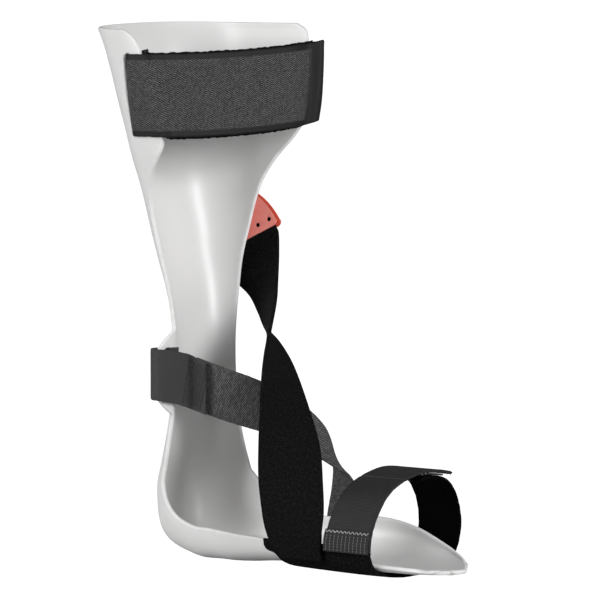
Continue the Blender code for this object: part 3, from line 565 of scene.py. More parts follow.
def lay(rails, thickness, step=0.0013, across_step=0.0018):
    """A fine grid over the rails of a band, with each row's distance along it and each column's across."""
    grid = np.stack([np.asarray(rail, float) for rail in rails], axis=1)
    count, lines = grid.shape[:2]
    run = run_of(grid.mean(axis=1))
    width = np.linalg.norm(np.diff(grid, axis=1), axis=2).sum(axis=1).mean()
    along = spaced(run[-1], step, thickness / 2)
    across = spaced(width, across_step, thickness / 2)
    rows = hermite(np.arange(count), grid.reshape(count, -1), np.interp(along, run, np.arange(count)))
    rows = rows.reshape(len(along), lines, 3).transpose(1, 0, 2).reshape(lines, -1)
    fine = hermite(np.arange(lines), rows, across / width * (lines - 1))
    fine = fine.reshape(len(across), len(along), 3).transpose(1, 0, 2)
    return fine, along, across


def face_normals(grid):
    return unit(np.cross(np.gradient(grid, axis=0), np.gradient(grid, axis=1)))


def rounding(distance, radius):
    return np.sqrt(np.clip(1 - (1 - np.clip(distance / radius, 0, 1)) ** 2, 0, 1))


def sew(
    name, laid, thickness, lift=0.0, ragged=0.0, relief=None, ends=(True, True), seed=1, normal=None, plain=()
):
    """A band of cloth over a laid grid: rounded selvages, and relief(along, across) raised on its faces.

    plain gives the stretches, as (from, to) along the band, where its weave is smooth."""
    grid, along, across = laid
    normal = face_normals(grid) if normal is None else normal
    width = across[-1]
    side_gap = np.minimum(across, width - across)
    swell = rounding(side_gap, thickness / 2)[None, :] * np.ones(len(along))[:, None]
    if ends[0]:
        swell = swell * rounding(along - along[0], thickness / 2)[:, None]
    if ends[1]:
        swell = swell * rounding(along[-1] - along, thickness / 2)[:, None]
    if ragged:
        sideways = unit(np.gradient(grid, axis=1))
        for side, sign in ((across, -1), (width - across, 1)):
            shift = ragged * wander(along[-1] + 0.01, along, 0.0021, seed + sign)
            shift += ragged * 0.6 * wander(along[-1] + 0.01, along, 0.0009, seed + 5 + sign)
            fade = np.clip(1 - side / 0.004, 0, 1)
            grid = grid + sideways * shift[:, None, None] * fade[None, :, None] * sign
    height = thickness / 2 * swell
    raised = 0.0 if relief is None else relief(along[:, None], across[None, :] - width / 2) * swell
    front = grid + normal * (lift + height + raised)[..., None]
    back = grid + normal * (lift - height - raised)[..., None]
    rows, columns = grid.shape[:2]
    faces = []
    size = rows * columns
    for i in range(rows - 1):
        for j in range(columns - 1):
            a = i * columns + j
            faces.append((a, a + 1, a + columns + 1, a + columns))
            faces.append((a + size + columns, a + size + columns + 1, a + size + 1, a + size))
    for index, closed in ((0, ends[0]), (rows - 1, ends[1])):
        if not closed:
            for j in range(columns - 1):
                a = index * columns + j
                faces.append((a, a + size, a + size + 1, a + 1))
    bare = np.zeros(len(along))
    for first, last in plain:
        bare = np.maximum(bare, ease((along - first) / 0.0015) * ease((last - along) / 0.0015))
    cloth = np.broadcast_arrays(along[:, None], (across - width / 2)[None, :], bare[:, None])
    cloth = np.stack(cloth, axis=-1).reshape(-1, 3)
    points = np.concatenate([front.reshape(-1, 3), back.reshape(-1, 3)])
    return new_piece(name, points, faces, {"cloth": np.concatenate([cloth, cloth])})


def selvage_ribs(half, margin, depth, pitch=0.0011):
    """Lengthwise ribs beside both edges of a band."""

    def relief(along, across):
        inside = half - np.abs(across)
        ribs = np.where(inside < margin, np.cos(inside / pitch * 2 * math.pi) - 0.4, 0.25)
        return depth * ribs + 0 * along

    return relief


def calf_rail(z):
    """One line of the calf strap at this height: through the slot, over to the far wall, round the fold."""
    slot = across_at_x(z, calf_slot_x())
    inside = -(WALL + STRAP_CLEAR + WEBBING / 2)
    outside = STRAP_CLEAR + WEBBING / 2
    edge = level_point(z, -1, 0)
    ahead = unit(edge - level_point(z, -0.94, 0))
    turn = (slot + 1) * 0.10
    up = np.array([0.0, 0.0, 1.0])
    points = [
        level_point(z, -1, inside) + ahead * 0.003 + up * 0.0036,
        level_point(z, -1, inside) + up * 0.0030,
        level_point(z, (slot - 1) / 2, inside) + up * 0.0012,
        level_point(z, slot - turn, inside),
        level_point(z, slot, -WALL / 2),
        level_point(z, slot - turn, outside),
        level_point(z, (slot - 1) / 2, outside),
        level_point(z, -1, outside),
        level_point(z, -1, outside) + ahead * 0.006,
    ]
    far_z = z + CALF_FAR_RISE
    far_knot = leg_knot(far_z)
    fold = level_point(far_z, 1, 0) + np.array([FOLD_REACH, 0.002, 0])
    start = points[-1]
    reach = fold - start
    for share in (0.12, 0.3, 0.5, 0.7, 0.84):
        bulge = CALF_BULGE * math.sin(math.pi * share)
        sag = CALF_FAR_RISE * (share**2.2 - share)
        points.append(start + reach * share + np.array([bulge * 0.8, -bulge * 0.6, sag]))
    points.append(start + reach * 0.91 + np.array([-0.0012, 0.0016, -0.0008]))
    back = level_point(far_z, across_at(far_knot, 0.010, 1), STRAP_CLEAR + TAB_LIFT)
    points.append(fold + up * 0.0012)
    points.append((fold + back) / 2 + np.array([0.0015, 0.0028, 0]))
    points.append(back)
    points.append(level_point(far_z, across_at(far_knot, TAB_START - 0.003, 1), STRAP_CLEAR + TAB_LIFT))
    return smooth_path(points, CALF_POINTS)


def calf_heights(margin, rise, count=5):
    """Heights of lines across the calf strap, this far in from its edges."""
    half = CALF_STRAP_WIDTH / 2 - margin
    return np.linspace(CALF_STRAP_Z - half, CALF_STRAP_Z + half, count) + rise


def wall_rail(z, insets, side, lift):
    knot = leg_knot(z)
    return np.array([level_point(z, across_at(knot, inset, side), lift) for inset in insets])


def leg_side(run):
    """1 where the strap's normals point back at the leg, else -1."""
    grid = np.stack(run, axis=1)
    middle = len(grid) // 2
    to_leg = shell_row(leg_knot(CALF_STRAP_Z), 0) - grid[middle, 0]
    return 1.0 if float(np.dot(face_normals(grid)[middle, 0], to_leg)) > 0 else -1.0


def free_run(z):
    """The stretch of the calf strap's line that is clear of the shell, from the near edge to the fold."""
    rail = calf_rail(z)
    edge = level_point(z, -1, STRAP_CLEAR + WEBBING / 2)
    first = int(np.argmin(np.linalg.norm(rail - edge, axis=1) + (np.arange(len(rail)) < 10) * 1.0)) + 1
    return smooth_path(rail[first : CALF_RUN[1] + 2], 60)


def make_calf_strap():
    rails = [calf_rail(z) for z in calf_heights(0, 0)]
    band_relief = selvage_ribs(CALF_STRAP_WIDTH / 2, 0.0026, 0.00012)
    laid = lay(rails, WEBBING, 0.0014, 0.0019)
    middle = laid[0][:, laid[0].shape[1] // 2]
    fold = laid[1][int(np.argmax(middle[:, 0]))]
    slot = laid[1][int(np.argmin(middle[:, 1]))]
    bare = ((slot - 0.06, slot - 0.022), (fold - 0.0105, fold + 0.05))
    band = sew("calf_strap", laid, WEBBING, relief=band_relief, ragged=0.0002, plain=bare)
    finish(band, "leg", "herringbone webbing", "webbing", "calf_strap_band")
    wide = [free_run(z) for z in calf_heights(-0.0014, 0)]
    under = (WEBBING / 2 + GAP + LINING / 2) * leg_side(wide)
    lining = sew("calf_lining", lay(wide, LINING, 0.0008), LINING, lift=under, ragged=0.00035, seed=4)
    finish(lining, "leg", "black plush", "plush", "calf_strap_lining")
    insets = np.linspace(TAB_START, TAB_START + TAB_LENGTH, 14)
    rails = [wall_rail(z, insets, 1, STRAP_CLEAR + TAB_LIFT) for z in calf_heights(0.0004, CALF_FAR_RISE)]
    tab = sew("calf_tab", lay(rails, WEBBING), WEBBING, relief=band_relief, ragged=0.0002, seed=8)
    finish(tab, "calf_tab", "herringbone webbing", "webbing", "calf_strap_tab")
    insets = np.linspace(TAB_START + 0.010, TAB_START + TAB_LENGTH - 0.008, 10)
    rails = [wall_rail(z, insets, 1, STRAP_CLEAR + HOOK / 2) for z in calf_heights(0.006, CALF_FAR_RISE)]
    hook = sew("calf_hook_tape", lay(rails, HOOK), HOOK)
    finish(hook, "leg", "hook tape", "hook", "calf_hook_patch")


# ---------------------------------------------------------------- ankle strap


def ankle_loop_rail(z):
    """One edge of the loop of webbing through the ear. Its outer layer drops towards the band."""
    near_side = WALL / 2 + STRAP_CLEAR + LOOP_WEBBING / 2
    over = near_side + LOOP_WEBBING + STRAP_CLEAR
    fold = EAR_REACH + STRAP_CLEAR + LOOP_WEBBING
    places = [
        (-0.001, near_side, 0.0),
        (EAR_SLOT_OUT - 0.0034, near_side, 0.0),
        (EAR_SLOT_OUT - 0.0012, near_side * 0.6, 0.0),
        (EAR_SLOT_OUT + 0.0012, -near_side * 0.6, 0.0),
        (EAR_SLOT_OUT + 0.0034, -near_side, 0.0),
        (EAR_REACH - 0.001, -near_side, 0.0),
        (fold, -0.001, 0.0),
        (fold - 0.001, near_side, 0.0004),
        (EAR_REACH - 0.004, over, 0.0010),
        (EAR_SLOT_OUT, over + 0.0006, 0.0018),
        (0.0, over + 0.0006, 0.0032),
        (-0.008, over + 0.0008, 0.0052),
    ]
    steeper = 1.35 if z < ANKLE_STRAP_Z else 1.0
    return [ear_place(out, front, z - drop * steeper) for out, front, drop in places]


def make_ankle_strap():
    half = ANKLE_STRAP_WIDTH / 2
    rails = []
    for side, tail in ((-1, ANKLE_TAIL_LOW), (1, ANKLE_TAIL_HIGH)):
        loop = ankle_loop_rail(ANKLE_STRAP_Z + half * side)
        rails.append(smooth_path(loop + [np.array(p) * MM for p in tail], 60))
    loop = lay(rails, LOOP_WEBBING, 0.0009)
    piece = sew("ankle_anchor", loop, LOOP_WEBBING, relief=sewn_ribs(half, loop[1][-1]), ragged=0.00015)
    finish(piece, "foot", "plain webbing", "webbing", "ankle_anchor_loop")
    rib_rows(loop)
    rails = [smooth_path([np.array(p) * MM for p in edge], 44) for edge in (ANKLE_BAND_LOW, ANKLE_BAND_HIGH)]
    band = lay(rails, WEBBING)
    relief = selvage_ribs(half, 0.003, 0.00012)
    piece = sew("ankle_strap", band, WEBBING, relief=relief, ragged=0.0001, seed=6)
    finish(piece, "foot", "loop webbing", "webbing", "ankle_strap_band")


def cloth_point(laid, along_at, across_at_, lift):
    """A point on a laid band, this far along it and across it from its middle, lifted off it."""
    grid, along, across = laid
    i = np.interp(along_at, along, np.arange(len(along)))
    j = np.interp(across_at_ + across[-1] / 2, across, np.arange(len(across)))
    a, b = int(i), int(j)
    a2, b2 = min(a + 1, len(along) - 1), min(b + 1, len(across) - 1)
    fi, fj = i - a, j - b
    normal = face_normals(grid)[a, b]
    low = grid[a, b] * (1 - fj) + grid[a, b2] * fj
    high = grid[a2, b] * (1 - fj) + grid[a2, b2] * fj
    return low * (1 - fi) + high * fi + normal * lift


def thread_runs(name, runs, radius, body, material="grey thread", slot="webbing", sides=6):
    """Lengths of thread, each a round run through its points with closed, tapered ends."""
    points, faces = [], []
    for run in runs:
        run = np.asarray(run, float)
        tangent = unit(np.gradient(run, axis=0))
        guide = np.array([0.31, 0.17, 0.93])
        first = unit(np.cross(tangent, guide))
        second = np.cross(tangent, first)
        share = np.linspace(0, 1, len(run))
        thick = radius * np.clip(np.sin(np.pi * np.clip(share, 0.04, 0.96)) * 3.0, 0.25, 1.0)
        base = len(points)
        for k in range(len(run)):
            for s in range(sides):
                angle = 2 * math.pi * s / sides
                points.append(run[k] + (first[k] * math.cos(angle) + second[k] * math.sin(angle)) * thick[k])
        for k in range(len(run) - 1):
            for s in range(sides):
                t = (s + 1) % sides
                a = base + k * sides
                faces.append((a + s, a + t, a + sides + t, a + sides + s))
        faces.append(tuple(base + s for s in range(sides))[::-1])
        faces.append(tuple(base + (len(run) - 1) * sides + s for s in range(sides)))
    piece = new_piece(name, points, faces)
    finish(piece, body, material, slot)


def stitch(start, end, normal, rise, count=6):
    """One stitch from hole to hole, bowed off the cloth."""
    share = np.linspace(0, 1, count)[:, None]
    return start + (end - start) * share + normal * rise * np.sin(np.pi * share)


RIB_PITCH = 0.0022
RIB_ROWS = 8
RIB_SLANT = 0.22


def sewn_ribs(half, end):
    """Plain selvages, and ribs standing up between the rows of stitches on the anchor's tail."""
    selvages = selvage_ribs(half, 0.0022, 0.0001)

    def relief(along, across):
        behind = end - 0.0012 - (along - across * RIB_SLANT)
        sewn = (behind > 0) & (behind < RIB_PITCH * (RIB_ROWS - 1))
        wave = 0.00022 * (1 - np.cos(behind / RIB_PITCH * 2 * math.pi))
        return selvages(along, across) + np.where(sewn, wave, 0.0)

    return relief


def rib_rows(laid):
    """Slanted rows of close stitches that hold the anchor's tail down."""
    grid, along, _ = laid
    normal = face_normals(grid)
    outward = 1.0 if normal[-5, 3][1] < 0 else -1.0
    lift = outward * (LOOP_WEBBING / 2 + 0.00005)
    runs = []
    for row in range(RIB_ROWS):
        for step in range(16):
            low = -0.0162 + step * 0.0020
            high = low + 0.0018
            base = along[-1] - 0.0012 - row * RIB_PITCH
            a = cloth_point(laid, base + low * RIB_SLANT, low, lift)
            b = cloth_point(laid, base + high * RIB_SLANT, high, lift)
            runs.append(stitch(a, b, normal[-5, 3] * outward, 0.0002))
    thread_runs("anchor_stitches", runs, 0.00036, "foot", "dark thread")


# ---------------------------------------------------------------- clip and lift band


def clip_frame():
    """Middle of the clip's lower edge, its directions along that edge, up it and out of it, and its pivot."""
    knot = leg_knot(CLIP_Z)
    across = across_at(knot, CLIP_INSET, 1)
    out = shell_normal(knot, across)
    level = unit(np.cross(out, [0, 0, 1.0]))
    level = level if level[0] > 0 else -level
    up = unit(np.cross(out, level))
    up = up if up[2] > 0 else -up
    edge = level * math.cos(CLIP_TILT) + up * math.sin(CLIP_TILT)
    rise = -level * math.sin(CLIP_TILT) + up * math.cos(CLIP_TILT)
    pivot = off_shell(knot, across, 0.0)
    middle = pivot + edge * CLIP_SHIFT - rise * CLIP_PIVOT_RISE
    return middle, edge, rise, out, pivot


CLIP = clip_frame()


def clip_outline(grow, corner=0.004, count=56):
    """The clip's dome, from one end of its lower edge over the top to the other, with rounded corners."""
    half = LIFT_BAND_WIDTH / 2 + CLIP_MARGIN + grow
    height = CLIP_HEIGHT + grow
    points = []
    for step in range(count + 1):
        angle = math.pi * step / count
        across = math.cos(angle)
        points.append((half * across, height * math.sin(angle)))
    trimmed = [p for p in points if p[1] >= corner]
    left, right = trimmed[-1], trimmed[0]
    for place, sign in ((left, -1), (right, 1)):
        turns = np.linspace(0, math.pi / 2, 7)[1:]
        arc = []
        for a in turns:
            side = place[0] + sign * (CLIP_GROW - corner * (1 - math.cos(a)))
            arc.append((side, corner - corner * math.sin(a) - grow))
        if sign < 0:
            trimmed = trimmed + arc
        else:
            trimmed = arc[::-1] + trimmed
    return trimmed


def clip_points(outline, lift):
    middle, edge, rise, out, _ = CLIP
    return np.array([middle + edge * a + rise * b + out * lift for a, b in outline])


def clip_ring(place, radius, lift, sides=20):
    turns = [2 * math.pi * k / sides for k in range(sides)]
    ring = [(place[0] + radius * math.cos(a), place[1] + radius * math.sin(a)) for a in turns]
    return clip_points(ring, lift)


def soften(piece, width, segments=3, angle=35):
    bevel = piece.modifiers.new("soft edges", "BEVEL")
    bevel.width = width
    bevel.segments = segments
    bevel.limit_method = "ANGLE"
    bevel.angle_limit = math.radians(angle)
    bevel.harden_normals = False
    settle(piece)
    piece.data.shade_smooth()
    return piece


def turned(name, place, profile, body, material, slot, *nodes):
    """A round piece square to the clip, from its (radius, lift) profile."""
    rings = [clip_ring(place, max(radius, 1e-5), lift, 32) for radius, lift in profile]
    points = np.concatenate(rings)
    faces = ring_faces(len(rings), 32)
    faces += [tuple(range(32))[::-1], tuple(range(len(points) - 32, len(points)))]
    piece = new_piece(name, points, faces)
    finish(piece, body, material, slot, *nodes)


def clip_bore(place):
    """A cutter for the stud's bore, through both plates."""
    return prism("bore", *(clip_ring(place, CLIP_BORE_RADIUS, lift) for lift in (-0.01, 0.02)))


def make_clip():
    inner_low = CLIP_CLEAR
    inner_high = inner_low + CLIP_THICKNESS
    outer_low = inner_high + PLUSH + 2 * GAP
    outer_high = outer_low + CLIP_THICKNESS
    stud_place = (-CLIP_SHIFT, CLIP_PIVOT_RISE)
    outline = clip_outline(-CLIP_GROW)
    face = prism("clip_face", clip_points(outline, inner_low), clip_points(outline, inner_high))
    cutters = [clip_bore(stud_place)]
    for index in range(CLIP_HOLES):
        place = ((index - (CLIP_HOLES - 1) / 2) * CLIP_HOLE_PITCH, CLIP_HOLE_RISE)
        rings = [clip_ring(place, CLIP_HOLE_RADIUS, lift) for lift in (inner_low - 0.002, inner_high + 0.001)]
        cutters.append(prism(f"hole_{index}", *rings))
    cut(face, *cutters)
    soften(face, 0.00055)
    finish(face, "clip", "salmon clip", "clip", "clip_inner_plate")
    outline = clip_outline(CLIP_GROW)
    back = prism("clip_back", clip_points(outline, outer_low), clip_points(outline, outer_high))
    cut(back, clip_bore(stud_place))
    soften(back, 0.0006)
    finish(back, "clip", "red clip", "clip", "clip_outer_plate")
    cap_low = outer_high + 2 * GAP
    profile = [(STUD_RADIUS * 0.9, 0.0004), (STUD_RADIUS, 0.0009), (STUD_RADIUS, cap_low)]
    profile += [(STUD_CAP_RADIUS - 0.0004, cap_low), (STUD_CAP_RADIUS, cap_low + 0.0004)]
    for step in range(1, 7):
        angle = math.pi / 2 * step / 6
        lift = cap_low + 0.0004 + (STUD_CAP - 0.0004) * math.sin(angle)
        profile.append((STUD_CAP_RADIUS * math.cos(angle * 0.93), lift))
    turned("clip_rivet", stud_place, profile, "leg", "red clip", "clip", "clip_stud", "clip_stud_cap")


def lift_band_rails():
    """Both edges of the whole lift band, from inside the clip to the side of the sole."""
    middle, edge, rise, out, _ = CLIP
    centre = CLIP_CLEAR + CLIP_THICKNESS + GAP + PLUSH / 2
    rails = []
    for side, points in ((1, LIFT_RAIL_A), (-1, LIFT_RAIL_B)):
        start = middle + edge * LIFT_BAND_WIDTH / 2 * side + out * centre
        top = [start + rise * LIFT_TUCK, start, start - rise * LIFT_STRAIGHT]
        rail = np.array(top + [np.array(p) * MM for p in points])
        rails.append(hermite(np.arange(len(rail)), rail, np.linspace(0, len(rail) - 1, LIFT_POINTS)))
    return rails


def make_lift_band():
    """The band in two lengths that meet where the clip's turning ends."""
    rails = lift_band_rails()
    split = run_of((rails[0] + rails[1]) / 2)[LIFT_SPLIT]
    grid, along, across = lay(rails, PLUSH, 0.0013, 0.0016)
    normal = face_normals(grid)
    row = int(np.argmin(np.abs(along - split)))
    relief = selvage_ribs(LIFT_BAND_WIDTH / 2, 0.0042, 0.00016, 0.0013)
    upper = (grid[: row + 1], along[: row + 1], across)
    lower = (grid[row:], along[row:], across)
    options = {"relief": relief, "ragged": 0.0}
    piece = sew("lift_band_top", upper, PLUSH, ends=(True, False), normal=normal[: row + 1], **options)
    clad(piece, "black plush", "plush", "lift_band_upper")
    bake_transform(piece)
    piece = sew("lift_band_main", lower, PLUSH, ends=(False, True), normal=normal[row:], **options)
    clad(piece, "black plush", "plush", "lift_band_lower")
    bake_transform(piece)


# ---------------------------------------------------------------- sling and forefoot strap


def flap_y():
    widest = min(shell_row(sole_knot(x), -1)[1] for x in np.linspace(SLING_REAR, SLING_FRONT, 12))
    return widest - 3 * GAP - PLUSH / 2


def sling_rail(share):
    """One line of the sling, this share of the way from its rear edge to its front: near flap to far wall."""
    x_near = SLING_REAR + (SLING_FRONT - SLING_REAR) * share
    x_sole = x_near + SLING_REAR_SLANT * (1 - share)
    x_far = x_near + SLING_REAR_SLANT * (1 - share) * 0.6
    points = [np.array([x_near, flap_y(), z]) for z in (SLING_TOP, SLING_TOP - 0.005)]
    lift = 2 * GAP + PLUSH / 2
    for across in np.concatenate([np.linspace(-0.93, -0.1, 12), np.linspace(0, 0.82, 11)]):
        mix = min(abs(across), 1.0) ** 2
        x = x_sole + ((x_near if across < 0 else x_far) - x_sole) * mix
        x += 0.008 * share * float(ease((across + 0.9) / 0.5))
        point = off_shell(sole_knot(x), across, lift)
        if across < 0 and point[2] > SLING_TOP - 0.009:
            continue
        points.append(point)
    return smooth_path(points, 40)


def make_sling():
    rails = [sling_rail(share) for share in np.linspace(0, 1, 6)]
    laid = lay(rails, PLUSH, 0.0016, 0.0022)
    relief = selvage_ribs(laid[2][-1] / 2, 0.003, 0.00012)
    piece = sew("sling_band", laid, PLUSH, ragged=0.0004, relief=relief)
    finish(piece, "foot", "black plush", "plush", "sole_sling")


def arch(points, x_rear, x_front, count):
    path = smooth_path([(0.0, y * MM, z * MM) for y, z in points], count)
    return [path + np.array([x, 0, 0]) for x in (x_rear, x_front)]


def make_forefoot_strap():
    front = SLING_FRONT + 0.002
    rear = front - FOREFOOT_STRAP_WIDTH
    half = FOREFOOT_STRAP_WIDTH / 2
    relief = selvage_ribs(half, 0.0018, 0.0001)
    near = lay(arch(((-46.6, 19), *FOREFOOT_NEAR[2:]), rear, front, 60), WEBBING)
    piece = sew("forefoot_near", near, WEBBING, relief=relief, ragged=0.00015, seed=11)
    finish(piece, "foot", "satin webbing", "webbing", "forefoot_near_strap")
    flap = lay(arch(FOREFOOT_FLAP, rear, front, 60), WEBBING)
    piece = sew("forefoot_flap_strap", flap, WEBBING, relief=relief, ragged=0.00015, seed=12)
    finish(piece, "forefoot_flap", "satin webbing", "webbing", "forefoot_flap")
    hook = lay(arch(FOREFOOT_HOOK, rear + 0.002, front - 0.002, 30), HOOK)
    finish(sew("flap_hook_tape", hook, HOOK), "forefoot_flap", "hook tape", "hook", "forefoot_hook_patch")
    far = lay(arch(FOREFOOT_FAR, rear + 0.002, front, 70), WEBBING)
    piece = sew("forefoot_far", far, WEBBING, relief=relief, ragged=0.00015, seed=13)
    finish(piece, "foot", "black satin webbing", "webbing", "forefoot_far_strap")
    patch = lay(arch((*FOREFOOT_PATCH, (-46.0, 33)), rear, front, 20), LINING, 0.0007)
    piece = sew("forefoot_patch", patch, LINING, relief=selvage_ribs(half, 0.0018, 0.0001), ragged=0.0001)
    finish(piece, "foot", "satin webbing", "webbing", "forefoot_join_patch")
    patch_stitches(patch)
    flap_stitches(flap)


def patch_stitches(laid):
    """A zigzag along the patch's top edge, and rows of short stitches below it."""
    grid, along, across = laid
    normal = face_normals(grid)
    outward = 1.0 if normal[3, 3][1] < 0 else -1.0
    lift = outward * (LINING / 2 + 0.0001)
    half = across[-1] / 2
    face = normal[len(along) // 2, 3] * outward
    runs, dark = [], []
    count = 22
    for step in range(count):
        a = -half + 0.001 + (2 * half - 0.002) * step / count
        b = a + (2 * half - 0.002) / count
        low, high = along[-1] - 0.0027, along[-1] - 0.0008
        ends = (low, high) if step % 2 else (high, low)
        start = cloth_point(laid, ends[0], a, lift)
        end = cloth_point(laid, ends[1], b, lift)
        runs.append(stitch(start, end, face, 0.00025))
        for row in range(6 if step % 2 else 0):
            at = 0.0010 + row * 0.0018
            start = cloth_point(laid, at, a + 0.0002, lift)
            end = cloth_point(laid, at + 0.0014, a + 0.0002, lift)
            dark.append(stitch(start, end, face, 0.0002))
    thread_runs("patch_zigzag", runs, 0.00030, "foot", "light thread")
    thread_runs("patch_stitches", dark, 0.00028, "foot", "grey thread")


def flap_stitches(laid):
    """Short stitches on the flap's underside, where its hook tape is sewn on."""
    grid, _, across = laid
    normal = face_normals(grid)
    down = -1.0 if normal[20, 3][2] > 0 else 1.0
    lift = down * (WEBBING / 2 + 0.0001)
    runs = []
    for step in range(9):
        at = 0.020 + step * 0.0042
        place = across[-1] / 2 - 0.0012
        start = cloth_point(laid, at, place, lift)
        end = cloth_point(laid, at + 0.0013, place, lift)
        runs.append(stitch(start, end, normal[20, 3] * down, 0.00025))
    thread_runs("flap_stitches", runs, 0.00022, "forefoot_flap", "light thread")


# ---------------------------------------------------------------- finishes


def feed(tree, socket, value):
    """Links another node's output to the socket, or sets the socket's own value."""
    if isinstance(value, bpy.types.NodeSocket):
        tree.links.new(value, socket)
    else:
        socket.default_value = value


def put(tree, kind, settings=None, **values):
    """A new node with its settings and its inputs' values or links. Input names have _ for a space."""
    made = tree.nodes.new(kind)
    for key, value in (settings or {}).items():
        setattr(made, key, value)
    for key, value in values.items():
        socket = made.inputs[int(key[1:]) if key[0] == "i" and key[1:].isdigit() else key.replace("_", " ")]
        feed(tree, socket, value)
    return made


def calc(tree, operation, *values, clamp=False):
    inputs = {f"i{index}": value for index, value in enumerate(values)}
    return put(tree, "ShaderNodeMath", {"operation": operation, "use_clamp": clamp}, **inputs).outputs[0]


def times(tree, first, second):
    return calc(tree, "MULTIPLY", first, second)


def plus(tree, first, second):
    return calc(tree, "ADD", first, second)


def minus(tree, first, second):
    return calc(tree, "SUBTRACT", first, second)


def noise(tree, place, scale, detail, roughness=0.5):
    values = {"Vector": place, "Scale": scale, "Detail": detail, "Roughness": roughness}
    return put(tree, "ShaderNodeTexNoise", **values).outputs["Fac"]


def spread(tree, value, low, high):
    """The value as a share of the way from low to high, held between 0 and 1."""
    values = {"Value": value, "From_Min": low, "From_Max": high}
    return put(tree, "ShaderNodeMapRange", {"clamp": True}, **values).outputs["Result"]


def slant_cloth(tree, given):
    """The place on the cloth, turned by the group's own slant."""
    values = {"Vector": given["Cloth"], "Angle": given["Slant"]}
    return put(tree, "ShaderNodeVectorRotate", {"rotation_type": "Z_AXIS"}, **values).outputs[0]


def blend_colours(tree, share, first, second):
    made = tree.nodes.new("ShaderNodeMix")
    made.data_type = "RGBA"
    for index, value in ((0, share), (6, first), (7, second)):
        feed(tree, made.inputs[index], value)
    return made.outputs[2]


def grey(level, warm=0.0):
    return (level * (1 + warm), level, level * (1 - warm), 1.0)


def new_group(name, inputs, outputs):
    tree = bpy.data.node_groups.new(name, "ShaderNodeTree")
    for label, kind, value in inputs:
        socket = tree.interface.new_socket(label, in_out="INPUT", socket_type=f"NodeSocket{kind}")
        if value is not None:
            socket.default_value = value
    for label in outputs:
        tree.interface.new_socket(label, in_out="OUTPUT", socket_type="NodeSocketFloat")
    given = tree.nodes.new("NodeGroupInput").outputs
    wanted = tree.nodes.new("NodeGroupOutput").inputs
    return tree, given, wanted


def herringbone_group():
    """Chevrons of broken threads, plain towards the selvages."""
    inputs = (("Cloth", "Vector", None), ("Pitch", "Float", 0.0085), ("Row", "Float", 0.0014))
    inputs += (("Slope", "Float", 0.6), ("Plain beyond", "Float", 0.0257))
    tree, given, wanted = new_group("herringbone threads", inputs, ("Thread", "Gap", "Height"))
    wobble = noise(tree, given["Cloth"], 160.0, 2.0)
    place = put(tree, "ShaderNodeSeparateXYZ", Vector=given["Cloth"]).outputs
    slow = times(tree, minus(tree, wobble, 0.5), 0.0006)
    along = plus(tree, place["X"], slow)
    across = plus(tree, place["Y"], slow)
    wave = calc(tree, "PINGPONG", along, times(tree, given["Pitch"], 0.5))
    slanted = calc(tree, "DIVIDE", plus(tree, across, times(tree, wave, given["Slope"])), given["Row"])
    row = calc(tree, "SINE", times(tree, calc(tree, "FRACT", slanted), math.pi))
    step = calc(tree, "DIVIDE", along, 0.00085)
    staggered = plus(tree, step, times(tree, calc(tree, "FLOOR", slanted), 0.5))
    dot = calc(tree, "SINE", times(tree, calc(tree, "FRACT", staggered), math.pi))
    column, line = calc(tree, "FLOOR", staggered), calc(tree, "FLOOR", slanted)
    cell = put(tree, "ShaderNodeCombineXYZ", X=column, Y=line).outputs[0]
    chance = put(tree, "ShaderNodeTexWhiteNoise", {"noise_dimensions": "2D"}, Vector=cell).outputs["Value"]
    lit = times(tree, calc(tree, "POWER", row, 2.0), plus(tree, 0.3, times(tree, dot, 0.7)))
    weight = plus(tree, 0.45, times(tree, chance, 0.65))
    inside = put(tree, "ShaderNodeMapRange", {"clamp": True}, Value=calc(tree, "ABSOLUTE", place["Y"])).inputs
    tree.links.new(given["Plain beyond"], inside["From Max"])
    tree.links.new(minus(tree, given["Plain beyond"], 0.0012), inside["From Min"])
    inside["To Min"].default_value = 1.0
    inside["To Max"].default_value = 0.0
    smooth = minus(tree, 1.0, place["Z"])
    mask = times(tree, inside["Value"].node.outputs["Result"], smooth)
    tree.links.new(times(tree, times(tree, lit, weight), mask), wanted["Thread"])
    gap = times(tree, minus(tree, 1.0, row), mask)
    tree.links.new(gap, wanted["Gap"])
    height = plus(tree, times(tree, row, 0.6), times(tree, dot, 0.4))
    tree.links.new(times(tree, height, mask), wanted["Height"])
    return tree


def pile_group():
    """Short fibres that lie on a slant, with clumps and thin places."""
    inputs = (("Cloth", "Vector", None), ("Slant", "Float", 0.7))
    inputs += (("Fineness", "Float", 1300.0), ("Stretch", "Float", 0.35))
    tree, given, wanted = new_group("slanting pile", inputs, ("Fibre", "Clump", "Height"))
    turned_place = slant_cloth(tree, given)
    place = put(tree, "ShaderNodeSeparateXYZ", Vector=turned_place).outputs
    drawn = times(tree, place["X"], given["Stretch"])
    lined = put(tree, "ShaderNodeCombineXYZ", X=drawn, Y=place["Y"]).outputs[0]
    fibre = noise(tree, lined, given["Fineness"], 3.0, 0.7)
    clump = noise(tree, given["Cloth"], 210.0, 3.0)
    coarse = times(tree, given["Fineness"], 0.8)
    tuft = put(tree, "ShaderNodeTexVoronoi", Vector=lined, Scale=coarse).outputs["Distance"]
    sharp = spread(tree, fibre, 0.5, 0.68)
    tree.links.new(sharp, wanted["Fibre"])
    tree.links.new(clump, wanted["Clump"])
    tree.links.new(plus(tree, fibre, times(tree, tuft, 0.5)), wanted["Height"])
    return tree


